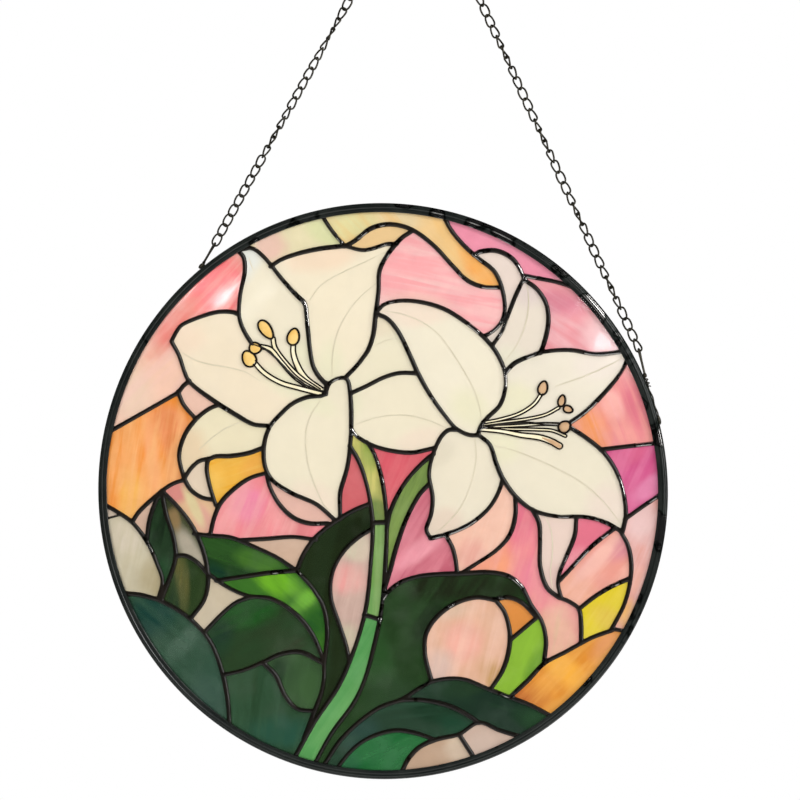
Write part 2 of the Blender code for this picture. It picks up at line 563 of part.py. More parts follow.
# ---------------------------------------------------------------- chains
def link_path(center, direction, turn):
    """The middle of a curb link's wire: an oval whose two ends are twisted opposite ways."""
    front = Vector((0, -1, 0))
    face = front.cross(direction)
    path = []
    for reach, width in LINK_CORNERS:
        lean = turn + LINK_TWIST * reach
        across = face * math.cos(lean) + front * math.sin(lean)
        path.append(center + direction * LINK_REACH * reach + across * LINK_HALF_WIDTH * width)
    return path


def make_chain(name, top, bottom, turns):
    """Curb links from the hanging ring down to a wire eye, each hooked in the next."""
    run = bottom - top
    direction = run.normalized()
    count = round((run.length - LINK_PITCH) / LINK_PITCH)
    pitch = (run.length - 2 * LINK_REACH) / count
    halves = ([], []), ([], [])
    for number in range(count + 1):
        from_panel = count - number
        turn = math.radians(float(np.interp(from_panel, *zip(*turns))))
        center = top + direction * (LINK_REACH + pitch * number)
        path = link_path(center, direction, turn)
        vertices, faces = tube(path, center, LINK_WIRE / 2, LINK_SIDES, True)
        into = halves[number % 2]
        first = len(into[0])
        into[0].extend(vertices)
        into[1].extend(tuple(first + k for k in face) for face in faces)
    chain = new_object(name, *halves[0], "aged_steel")
    others = new_object(name + "_other_links", *halves[1], "aged_steel")
    others.hide_render = True
    others.display_type = "WIRE"
    joined = chain.modifiers.new("joined links", "BOOLEAN")
    joined.operation = "UNION"
    joined.solver = "EXACT"
    joined.object = others


def panel_point(place):
    return on_panel([place], 0)[0]


def rim_point(degrees, rise):
    """A place that far outside the frame, by its angle clockwise from the panel's top."""
    angle = math.radians(degrees)
    reach = PANEL_RADIUS + rise
    return Vector((reach * math.sin(angle), 0, reach * math.cos(angle) - PANEL_DROP))


def make_eye(name, top, foot, spread):
    """A hairpin of wire for the chain's last link, its legs set in a solder drop on the frame."""
    along = (foot - top).normalized()
    spread = (spread - along * spread.dot(along)).normalized()
    foot_spread = spread * EYE_HALF_WIDTH * EYE_FOOT_SHARE
    path = [foot + foot_spread]
    for step in range(EYE_BEND_STEPS + 1):
        angle = math.pi * step / EYE_BEND_STEPS
        path.append(
            top + along * EYE_HALF_WIDTH * (1 - math.sin(angle))
            + spread * EYE_HALF_WIDTH * math.cos(angle)
        )
    path.append(foot - foot_spread)
    vertices, faces = tube(path, (top + foot) / 2, EYE_WIRE_RADIUS, EYE_SIDES, False)
    wire = new_object(name, vertices, faces, "aged_steel", math.radians(80))
    drop = bpy.data.meshes.new(name + "_drop")
    shape = bmesh.new()
    outward = (foot - panel_point((0, 0))).normalized()
    sized = Matrix.Diagonal((SOLDER_RADIUS, SOLDER_RADIUS, SOLDER_HEIGHT, 1))
    turned = outward.to_track_quat("Z", "Y").to_matrix().to_4x4()
    bmesh.ops.create_uvsphere(
        shape, u_segments=SOLDER_STEPS, v_segments=SOLDER_ROWS, radius=1.0,
        matrix=Matrix.Translation(foot) @ turned @ sized,
    )
    shape.to_mesh(drop)
    shape.free()
    solder = bpy.data.objects.new(name + "_drop", drop)
    bpy.context.scene.collection.objects.link(solder)
    solder.hide_render = True
    solder.display_type = "WIRE"
    joined = wire.modifiers.new("soldered foot", "BOOLEAN")
    joined.operation = "UNION"
    joined.solver = "EXACT"
    joined.object = solder


def make_hanging():
    """Ring, chains and wire eyes."""
    make_ring()
    inside_ring = RING_RADIUS - RING_WIRE_RADIUS - LINK_WIRE / 2 - 2 * GAP
    for side, (place, foot_angle, spread) in EYES.items():
        hook = panel_point(place)
        direction = (hook - RING_MIDDLE).normalized()
        start = RING_MIDDLE + direction * inside_ring
        end = hook + direction * (EYE_WIRE_RADIUS * 2 + LINK_WIRE / 2)
        make_chain("chain_" + side, start, end, TURNS[side])
        make_eye("wire_eye_" + side, hook, rim_point(foot_angle, GAP + SOLDER_HEIGHT), spread)


def main():
    for old in list(bpy.data.objects):
        bpy.data.objects.remove(old)
    make_frame()
    make_glazing()
    make_hanging()


main()
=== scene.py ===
"""The look of the round lily suncatcher: fine glass, domed lead, painted veins, frame and chains."""

import math

import bmesh
import bpy
import numpy as np
from mathutils import Matrix, Vector, kdtree
from mathutils.geometry import delaunay_2d_cdt


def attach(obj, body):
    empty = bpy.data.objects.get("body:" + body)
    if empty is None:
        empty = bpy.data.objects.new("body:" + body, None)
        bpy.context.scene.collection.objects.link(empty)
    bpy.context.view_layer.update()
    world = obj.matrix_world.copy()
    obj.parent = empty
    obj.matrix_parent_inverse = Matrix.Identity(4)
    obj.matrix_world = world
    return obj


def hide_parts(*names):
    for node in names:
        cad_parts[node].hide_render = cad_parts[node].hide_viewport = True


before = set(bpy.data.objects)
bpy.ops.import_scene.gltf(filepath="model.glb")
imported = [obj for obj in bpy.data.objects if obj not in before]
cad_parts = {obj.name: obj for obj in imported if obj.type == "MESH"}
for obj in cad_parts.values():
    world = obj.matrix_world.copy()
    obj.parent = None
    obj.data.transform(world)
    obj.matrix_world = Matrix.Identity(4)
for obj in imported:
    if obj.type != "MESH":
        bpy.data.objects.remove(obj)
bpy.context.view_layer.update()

MM = 0.001
PANEL_DROP = 330.0               # the origin down to the panel's centre; plain numbers are millimetres

# ---------------------------------------------------------------- sizes
GLASS_HALF = 1.5
GLASS_RIPPLE = 0.05
GLASS_TUCK = 0.45                # how far the glass reaches under the lead
CELL_STEP, CELL_CLEAR = 4.0, 1.2    # how far a pane's inner points are apart, and from its edge
PANE_STEP = 2.0                  # distance between the points of a pane's edge
LEAD_WIDTH = 2.5
THIN_LEAD_WIDTH = 1.5
LEAD_FOOT = 1.45                 # height of a lead's edge
LEAD_RISE = 1.15                 # height of its crown above the edge
LEAD_ROWS = (0.0, 0.42, -0.42, 0.78, -0.78)   # rows of points along a lead, in half widths
CAME_OUTER, CAME_INNER = 147.6, 145.4
BORDER_ROWS = (145.9, 146.5, 147.1)   # circles of points in the lead border
BORDER_RISE = 145.6              # where the border's dome starts
ROW_APART, EDGE_CLEAR = 0.5, 0.17   # the square that holds one such point, and its way to an opening
EDGE_PROBE = 0.15                # distance between the edge points that a lead's height is taken from
CURVE_STEP = 0.9
EDGE_STEP = 0.9
DOT_STEPS = 16
BORDER_STEPS = 360
SMALLEST_CELL = 1.5              # openings smaller than this, in mm2, are slivers between leads

LEAD_SHARE, LEAD_UNEVEN = 0.95, 0.055   # a lead's middling width against the CAD one, and how uneven it is
CORNER_SPAN = 1.3                # length over which solder rounds an opening's corners
TOLERANCE = 0.05                 # how far a simplified outline may stray
THIN_LEADS = ("seam_left", "seam_right", "beige_stub")

PANEL_RADIUS = 150.0
FRAME_STEPS = 300
FRAME_FACE = (145.3, 149.4)      # radii between which the rim is a little uneven
# The front half of the rim's section as (radius, depth), from the floor of its groove round the
# lip and the face to the outside; the back half mirrors it.
FRAME_PROFILE = (
    (148.6, 0.0), (148.6, -2.3), (145.6, -2.3), (145.35, -2.36), (145.22, -2.5), (145.22, -2.7),
    (145.38, -2.88), (145.7, -2.97), (146.2, -3.02), (146.8, -3.0), (147.15, -2.9), (147.3, -2.83),
    (147.42, -2.9), (147.6, -3.06), (147.85, -3.17), (148.1, -3.2), (148.35, -3.15), (148.55, -3.03),
    (148.68, -2.93), (148.8, -2.92), (149.0, -2.96), (149.3, -2.88), (149.6, -2.6), (149.82, -2.15),
    (149.95, -1.55), (150.0, -0.9), (150.0, 0.0),
)
RING_DROP, RING_RADIUS, RING_WIRE = 6.8, 7.6, 0.8
LINK_PITCH, LINK_REACH, LINK_HALF_WIDTH, LINK_WIRE, LINK_PLAY = 5.95, 3.425, 2.0, 1.0, 0.6
LINK_TWIST, LINK_SQUARE, LINK_STEPS, LINK_SIDES = 40, 0.72, 24, 8
EYE_WIRE, EYE_HALF_WIDTH, EYE_LEG = 0.45, 1.35, 0.55
FOOT_RISE, HOOK_PLAY = 0.9, 0.45
SOLDER, NECK, NECK_UP = (1.2, 2.0, 2.0), (1.0, 0.85, 0.85), 2.0
TAIL_SOLDER, TAIL_RISE, TAIL_END = (1.0, 1.4, 1.4), 0.3, (2.6, 0.9, 1.2)
TAIL_WIRE, COIL_WIRE, COIL_RISE, COIL_RADIUS = 0.4, 0.3, 0.75, 0.7
# Where each eye's bend stands, where its foot is on the rim in degrees clockwise from the top, the
# way its legs spread, and the span of the rim along which its wire's coiled tail runs.
EYES = {
    "left": ((-95.8, 123.4), -42.6, (0.1, 1, 0), ()),
    "right": ((129.6, 83.2), 62.4, (0.2, 1, 0), (62.6, 71.6)),
}
# How far each chain has turned about its own length, in degrees, at a count of links from the panel.
TURNS = {
    "left": ((0, -15), (8, 20), (11, 90), (14, 135), (18, 140), (20, 100), (24, 10), (34, -50), (40, -50)),
    "right": ((0, -40), (2, -5), (9.2, 180), (16, 360), (24, 540), (32, 720), (43, 1030), (50, 1030)),
}

# ---------------------------------------------------------------- light and camera
# In metres, watts and degrees, but for the lens in millimetres and the camera's aim in radians.
WORLD_LIGHT, WORLD_SHINE = 0.5, 0.04
GLINT_SIDE_SLOPE = 0.4                 # how much the bright worn patches grow with each metre to the right, and up: a painted highlight that gathers the glints on the side the light comes from
# Each light's name, place, width, height, power, and whether metal and glass mirror it.
LIGHTS = (
    ("key", (1.4, -3.0, 1.2), 1.6, 1.6, 26.0, False),
    ("fill", (-1.6, -2.8, -0.9), 1.2, 1.2, 28.0, False),
    ("glint", (1.75, -1.5, 1.25), 0.6, 0.9, 25.0, True),
    ("side", (2.4, -1.0, 0.3), 0.35, 1.5, 28.0, True),
    ("behind", (-1.2, 2.4, 1.5), 1.0, 1.0, 30.0, False),
    ("left glare", (-0.518, -1.973, -0.221), 0.03, 0.03, 0.22, True),
    ("right glare", (-0.062, -1.973, -0.265), 0.024, 0.03, 0.09, True),
)
FLOOR_HALF = 1.6
FLOOR_LEVEL = -1.2
CAMERA_TURN, CAMERA_LIFT, CAMERA_ROLL = 8.947, 3.058, -3.766
CAMERA_FAR, CAMERA_LENS, CAMERA_AIM = 2.0, 172.81, (-0.0238, 0.0052)

# ---------------------------------------------------------------- panes and paint
DARK_SLOTS = ("dark_green", "teal", "emerald")   # glass that light passes more easily
WHITE_MOTTLE, MOTTLE = 0.08, 0.2
# Small panes that have no solid of their own in the CAD part.
CHIPS = (
    "lily_a_curl", "lily_b_curl", "lily_b_sliver", "sky_amber", "rose_rim", "magenta_wedge", "crimson_left",
    "rose_small", "blush_sliver", "beige_middle", "peach_chip", "beige_chip", "beige_diamond", "orange_wedge",
    "beige_low", "blush_low", "bud_right",
)

PAINT_FOOT = 1.36                # paint starts just inside the glass, whose face is never lower than this
VEIN_WIDTH, OUTLINE_WIDTH = 0.62, 0.95
# Filaments take LAYERS heights in turn, one coat apart, so that no two of a flower share a face.
PAINT_COAT, LAYERS, ANTHER_RISE = 0.11, 5, 0.68
# Each vein's line, painted widest in its middle.
VEINS = (
    ((-4.5, 125), (-15, 119), (-28, 112), (-38, 105), (-43.5, 97)),
    ((-9, 108), (-18, 99), (-24, 90), (-28, 80), (-29.5, 70), (-29, 58)),
    ((-34.5, 45), (-39, 37), (-41, 28), (-39.5, 15), (-35, 2), (-29, -9), (-24, -14)),
    ((-109, 65), (-102, 61.5), (-95, 60), (-85, 59), (-75, 57), (-67, 53)),
    ((-77, 117), (-75.8, 113.5), (-74, 110)),
    ((-97, 15), (-90, 22), (-83, 27.5), (-75, 31)),
    ((-7, 76), (-1, 79), (4, 80)),
    ((-15, 34), (-5, 38), (3, 40), (12, 40.5), (22, 39), (33, 35.5)),
    ((-5, 94), (5, 93), (15, 90), (25, 84), (33, 75), (41, 64), (47, 54), (50, 45), (51, 40)),
    ((48, 31), (49.3, 22), (48, 10), (44, -3), (38, -12), (30, -20.5)),
    ((70, 112), (71.3, 103), (70.5, 93), (67, 82), (61, 72)),
    ((122, 78), (112, 72), (100, 66), (88, 61)),
    ((59, 28), (68, 26.5), (80, 23), (92, 18.5), (104, 13), (114, 6), (122, -2), (127, -8)),
    ((87, -6), (91, -14), (92.3, -25), (92, -35), (94, -45)),
)
# Each filament's middle line from its tip to the flower's heart, and its width at each end.
FILAMENTS = (
    (((-50.6, 73.5), (-50.3, 69), (-48, 63), (-43, 56), (-34, 50)), 2.3, 3.6),
    (((-61.5, 75.5), (-60.2, 71), (-54, 63.5), (-46, 56.5), (-35, 50)), 2.2, 2.2),
    (((-67.5, 71), (-62.5, 70), (-56.5, 64), (-48, 56), (-35.5, 49.3)), 2.1, 2.0),
    (((-70.5, 62.5), (-65, 57.5), (-56, 53), (-46, 50.8), (-34, 48.6)), 2.2, 2.2),
    (((92.3, 30.4), (88, 32.4), (82, 34), (72, 34.6), (62, 35.8), (51, 36)), 3.1, 1.6),
    (((95, 35.8), (88, 38), (80, 38), (66, 37.3), (51, 36.8)), 1.4, 1.2),
    (((91, 41.5), (84, 41.2), (72, 39.6), (60, 38.2), (51, 37.5)), 1.4, 1.2),
    (((90.5, 50), (84, 46), (74, 43), (62, 40.6), (51, 38.4)), 1.4, 1.2),
    (((81, 56.5), (78, 51.5), (71, 46), (61, 42), (51, 39.4)), 1.6, 1.3),
)
# (middle, half length, half width, lean, whether it is amber, and its rise where that is its own)
ANTHERS = (
    ((-65.5, 80), 5.6, 2.9, -50, True), ((-50.7, 77.3), 4.4, 3.1, 80, True), ((-70.5, 70), 3.2, 2.9, 0, True),
    ((-73.5, 64.3), 4.4, 3.5, 125, True), ((81.7, 59.7), 3.6, 2.4, 78, False),
    ((91.9, 53.8), 3.0, 1.8, 80, False), ((95.5, 49.6), 2.5, 1.8, -15, False),
    ((94.4, 40.5), 3.4, 2.9, 40, False, 1.4),
)

# The tan end of the right flower's pistil, as a line and its widths.
PISTIL_TIP = ((93.2, 29.8), (91.5, 30.8), (88, 32.4), (83, 34)), (1.7, 2.7, 2.3, 0.6)

# ---------------------------------------------------------------- the picture
# Lead lines of the picture: each is a smooth curve through a few (across, up) points,
# in millimetres from the panel's centre. A line ends under a neighbour or under the frame.
LEADS = {
    # left lily
    "petal_high_right": ((-81, 121), (-76, 122), (-70, 118.5), (-58, 106), (-50, 98.5), (-46, 95),
        (-44.5, 88), (-42, 73), (-39.5, 63), (-36, 57.5), (-31.5, 53.5)),
    "petal_high_left": ((-84, 121), (-80, 117), (-78.8, 110), (-80.5, 97), (-80.3, 86), (-77.5, 79),
        (-72.5, 72)),
    "petal_left_top": ((-80.5, 87), (-84, 88), (-92, 87.5), (-104, 83), (-111, 79), (-114, 74),
        (-115.5, 70.5)),
    "petal_left_under": ((-115.5, 70.5), (-111, 63.5), (-107.5, 55), (-104.5, 50), (-90, 40.5), (-78, 34.2),
        (-69, 30.2), (-60.5, 30)),
    "petal_low_left": ((-31.5, 49), (-34, 47.6), (-41, 46.5), (-49, 42.5), (-55, 36.5), (-60.5, 29),
        (-62.7, 19), (-61.5, 9), (-57.5, 2.2), (-47, -4), (-33, -9), (-22, -17)),
    "petal_low_right": ((-31.5, 50), (-30, 54.5), (-24.5, 57.7), (-21, 57), (-18.6, 48), (-17.2, 33),
        (-17.2, 20), (-17.9, 11), (-20.7, -2), (-20.3, -10), (-19.8, -16)),
    "hub_left": ((-31.8, 54.5), (-31.6, 48.5)),
    "petal_top_outer": ((-65.5, 113), (-60, 117), (-52, 120.5), (-40, 124), (-27, 126.3)),
    "petal_top_crest": ((-27, 126.3), (-17, 124.7), (-10, 126.6), (-5, 128.6), (0.5, 129)),
    "petal_top_right": ((8.5, 136.5), (3, 132.5), (-1.5, 127), (-5.5, 120.5), (-7.8, 114), (-7.5, 104),
        (-8.2, 92), (-8.8, 81), (-11, 73), (-16, 65), (-21.5, 58.5)),
    "petal_right_split": ((-18.5, 50), (-11, 54), (-2, 59.3), (6, 62.2), (16, 62.8)),
    "petal_right_under": ((-17.3, 32), (-14, 28), (-5, 23.6), (6, 21.5), (16, 21.5), (28, 25)),
    "petal_behind_top": ((-88, 39), (-92.5, 37), (-99, 31.5), (-105, 22.5), (-107.5, 11), (-104, -1)),
    "petal_behind_under": ((-62.7, 18.5), (-70, 15.2), (-80, 12.8), (-88, 12), (-92, 10)),
    "curl_top": ((-104, -1), (-101, 4.5), (-96.5, 9), (-91.5, 10.5)),
    "curl_right": ((-92, 10.5), (-92.3, 5), (-90, -4), (-86.2, -13.5)),
    "curl_under": ((-104, -1), (-100, -6.5), (-94, -10), (-87.5, -10.8)),
    "seam_left": ((-72.5, 72), (-66, 70.3), (-59, 65.5), (-50, 57.3), (-40, 51.5), (-31.5, 49.5)),
    # right lily
    "wide_petal_top": ((-8, 93), (-4, 97.3), (3, 99.6), (14, 99.9), (27, 97.2), (39, 91), (49.5, 83.5),
        (56.5, 76), (61.3, 66.5), (62, 57), (59.8, 49), (53.5, 42), (50.5, 37.5), (49.5, 33)),
    "wide_petal_left": ((-8, 92.3), (-2, 90), (4, 84), (10, 74), (16, 62.8), (23.5, 51.5), (31, 42.5),
        (38, 35.5), (45, 32.7), (50, 33)),
    "curl_petal_top": ((41, 126), (45, 128), (53, 128.8), (61, 125.5), (66, 119.5), (68, 115)),
    "narrow_petal_left": ((68, 115.5), (64.5, 107), (61.3, 97), (58.5, 87.5), (54, 80)),
    "narrow_petal_right": ((68, 115), (75, 110.5), (80.5, 103), (82.2, 93), (80.5, 82), (79, 77.5)),
    "long_petal_top": ((61.5, 66), (65.5, 71), (73, 75.3), (82, 78.6), (95, 80.2), (108, 79), (123, 81.5)),
    "long_petal_under": ((124.8, 79), (121.5, 70.5), (113, 58.5), (104, 48.5), (96, 42)),
    "broad_petal_top": ((96, 41), (105, 36), (115, 29), (122.5, 19.5), (127, 8.5), (129, -3), (127.8, -11.5)),
    "broad_petal_under": ((50, 33), (56, 28.5), (60, 19), (64, 11.3), (72, 2), (81, -3.8), (93, -6),
        (108, -5.2), (118, -7), (127.8, -11.5)),
    "front_petal_left": ((38, 35), (34, 34.5), (30.5, 31), (26.6, 21), (25.3, 11), (28, -1), (27.8, -10),
        (25.8, -18), (28.3, -22.3)),
    "front_petal_right": ((28.3, -22.3), (38, -19), (49, -13), (58, -4), (62.5, 5), (64, 11.5)),
    "low_petal_left": ((80.5, -3.5), (84.3, -10), (85.5, -20), (86.5, -33), (91, -43.5), (97.5, -48)),
    "low_petal_right": ((103.5, -5.8), (103.3, -15), (100, -25.5), (97, -34), (96.3, -41), (98.5, -48)),
    "seam_right": ((50, 36), (60, 39.3), (72, 41), (84, 41.3), (96, 41.5)),
    # stems
    "stem_left_edge": ((-17.3, 22.5), (-12, 15), (-7.5, 4.5), (-4, -8), (-2.3, -20), (-2.2, -40), (-2.8, -58),
        (-5.5, -74), (-10, -90), (-15.5, -104), (-26, -122), (-36.5, -144)),
    "stem_right_edge": ((-8.5, 25.3), (-4.5, 20), (0, 9), (3.5, -6), (5, -18), (5.6, -44), (4.8, -64),
        (2, -83), (-1.5, -99), (-6.5, -111.5), (-17, -128), (-25.5, -146)),
    "stem_joint_high": ((-2.5, -16.5), (5, -15.6)),
    "stem_joint_low": ((-4, -64.6), (5, -66.6)),
    "second_stem_left": ((27, 21.5), (23.5, 18.5), (16, 10), (10, 0), (6, -11), (5, -20)),
    "second_stem_right": ((25.8, 6), (21, 0), (15, -13), (10.5, -29), (8.2, -41), (5.5, -53)),
    # upper background
    "sky_split": ((-40.5, 142), (-33.5, 133), (-27, 126.5)),
    "ribbon_under": ((-27, 126), (-22, 129), (-14, 136), (-6, 138.8), (2, 138.6), (10, 136), (21, 128.5),
        (31, 119), (39, 112.3), (47, 109.8), (56, 110)),
    "ribbon_top": ((23.5, 146), (28, 138.5), (35, 131), (44, 124), (52, 118.5), (56, 112), (59, 101),
        (58.3, 93.5), (54.5, 88), (49, 84)),
    "rose_split_high": ((67.5, 117), (76, 116), (86, 114.6), (97, 111.5)),
    "rose_split_right": ((113.5, 30), (122, 31.6), (132, 33.6), (143, 35.6)),
    "magenta_under": ((128.5, -5), (136, 1.3), (147, 10)),
    # left background
    "left_split_short": ((-104.5, 50.5), (-107.5, 47.8), (-110, 44)),
    "left_split_long": ((-110, 44), (-125, 34.2), (-147, 20)),
    "left_wedge": ((-110.3, 44.5), (-107, 38), (-100, 31)),
    "orange_under": ((-104, -1.5), (-110, -4), (-115, -7.8), (-122, -14.5), (-127, -20), (-130.3, -25.5)),
    "beige_top": ((-147, -17), (-139.5, -20.5), (-130.3, -25.8), (-122, -35), (-115.5, -46.5), (-112, -55.5),
        (-113.5, -64.5)),
    "beige_stub": ((-147, -25.5), (-141.5, -24), (-136.5, -22.2)),
    "beige_under": ((-135, -63.5), (-124, -63.5), (-113.5, -65.3)),
    "rose_left_edge": ((-60, 5.5), (-69, 2), (-77, -4.2), (-83.5, -11.8), (-86.5, -19.5), (-88.3, -30)),
    "rose_sliver": ((-60.5, 6), (-58.5, -1), (-52.5, -10.5), (-44.5, -17), (-36, -19.3), (-26, -18.5)),
    "rose_under": ((-72, -30.8), (-58, -29), (-44, -27), (-31.5, -27.6)),
    # bud and leaves, left
    "bud_left": ((-115.5, -8), (-119, -15.5), (-121.3, -25), (-121.8, -35)),
    "bud_right": ((-115.5, -8), (-107.5, -14.8), (-99, -24), (-92.5, -35), (-88.8, -46), (-87.6, -55),
        (-89.3, -64), (-95.5, -73.5)),
    "bud_middle": ((-115.5, -8), (-112.5, -20), (-108, -31), (-105.8, -42), (-108.5, -54), (-112, -65)),
    "bud_cup": ((-106, -42), (-101.5, -41), (-95, -43.5), (-88, -50)),
    "leaf_top": ((-97, -29.3), (-88, -29.6), (-77, -29.8), (-65, -33.5), (-52, -38.3), (-41, -44.5)),
    "leaf_under": ((-88, -49.5), (-78, -55.5), (-66, -59.6), (-54, -60), (-43, -65), (-34, -72.5),
        (-27.5, -82), (-23.3, -93), (-23.3, -105), (-27, -118), (-31.5, -132)),
    "leaf_vein": ((-83.5, -53), (-70, -50), (-56, -46.8), (-41, -44.5)),
    "leaf_right": ((-41, -44.5), (-32, -53), (-25.5, -62.5), (-22.7, -75), (-23.3, -93)),
    "arch_top": ((-41, -44.5), (-38, -35.5), (-32, -26), (-22, -17), (-13, -10.8), (-4.5, -6.5)),
    "arch_inner": ((-2.5, -19.5), (-10, -25), (-17.5, -33.5), (-22, -44), (-22, -57), (-16.5, -71),
        (-12, -82), (-10, -90)),
    "mound_left": ((-64, -60), (-72, -63.5), (-80, -71), (-87.5, -80)),
    "shore_left": ((-113.5, -65.3), (-103, -69.8), (-93, -76.3), (-84.5, -85), (-78, -98), (-73.5, -113),
        (-70.5, -134)),
    "mound_crease": ((-76.5, -102), (-66, -98.8), (-56, -93.8), (-46, -88.5), (-36, -86.8), (-24, -91.5)),
    "shell_crease": ((-56, -93.8), (-48.5, -100), (-43, -110), (-36, -116.5), (-27.5, -117)),
    # leaves and background, right
    "crest_top": ((5.2, -56), (8.6, -51), (14, -46.3), (24, -42.3), (36, -40.3), (48, -39), (60, -37.5),
        (70, -38.6), (77, -43), (83, -52.5), (89, -60.5), (92, -70), (91.8, -82.5)),
    "peach_left": ((64.5, -51.8), (55, -51), (44.5, -54.5), (35.5, -61.5), (29.6, -71), (29.3, -82),
        (33.8, -96.5)),
    "peach_right": ((64.5, -51.8), (69.5, -57.5), (73, -68), (73, -78), (70.5, -88), (65, -98)),
    "crest_under": ((63, -51.5), (71, -49.8), (78, -51.8), (86.5, -59)),
    "amber_leaf_split": ((86.5, -59), (80, -65.3), (73.2, -72)),
    "blush_left": ((71, 3), (71.8, -7), (69.5, -17.5), (63, -26), (54, -33), (45.5, -39.3)),
    "rose_stem_right": ((36, -19.8), (40, -26), (42.3, -33), (43.5, -39.5)),
    "triangle_edge": ((123.5, -10), (113, -19.5), (103.5, -31), (97, -39)),
    "fan_right": ((126.5, -11), (131, -18), (133.4, -27), (133.4, -38), (131, -49.5), (125.5, -62)),
    "fan_under": ((133.5, -35), (124, -40), (115, -46.5), (108.5, -52.5)),
    "fan_left": ((98, -48), (103, -49.6), (108, -53), (109.7, -61), (110.3, -70.5)),
    "east_stub": ((125.5, -61.8), (136, -62.8)),
    "amber_top": ((126, -62.5), (116, -67), (102, -76), (92, -82.3), (84, -92), (76, -100.5)),
    "wave_top": ((27, -101), (34, -96.6), (43, -94.2), (52, -94.2), (62, -97.5), (74, -101), (86, -104.5),
        (101, -111)),
    "wave_tail": ((27, -101), (19, -107), (8, -112), (-1, -119), (-12, -131), (-21.5, -148)),
    "wave_crease": ((8, -112), (18, -107.8), (30, -106.6), (44, -108.5), (54, -112.5), (60, -116)),
    "wave_under": ((86, -122), (71, -119), (60, -115.8), (50, -122.8), (39, -126.2), (30, -131),
        (24.5, -137.5), (20.5, -147)),
    "floor_leaf": ((37, -126.5), (27, -124), (17, -123.5), (6, -127), (-3, -133), (-11, -143), (-14.5, -150)),
    "shore_right": ((50, -122.8), (60.5, -136.5)),
}

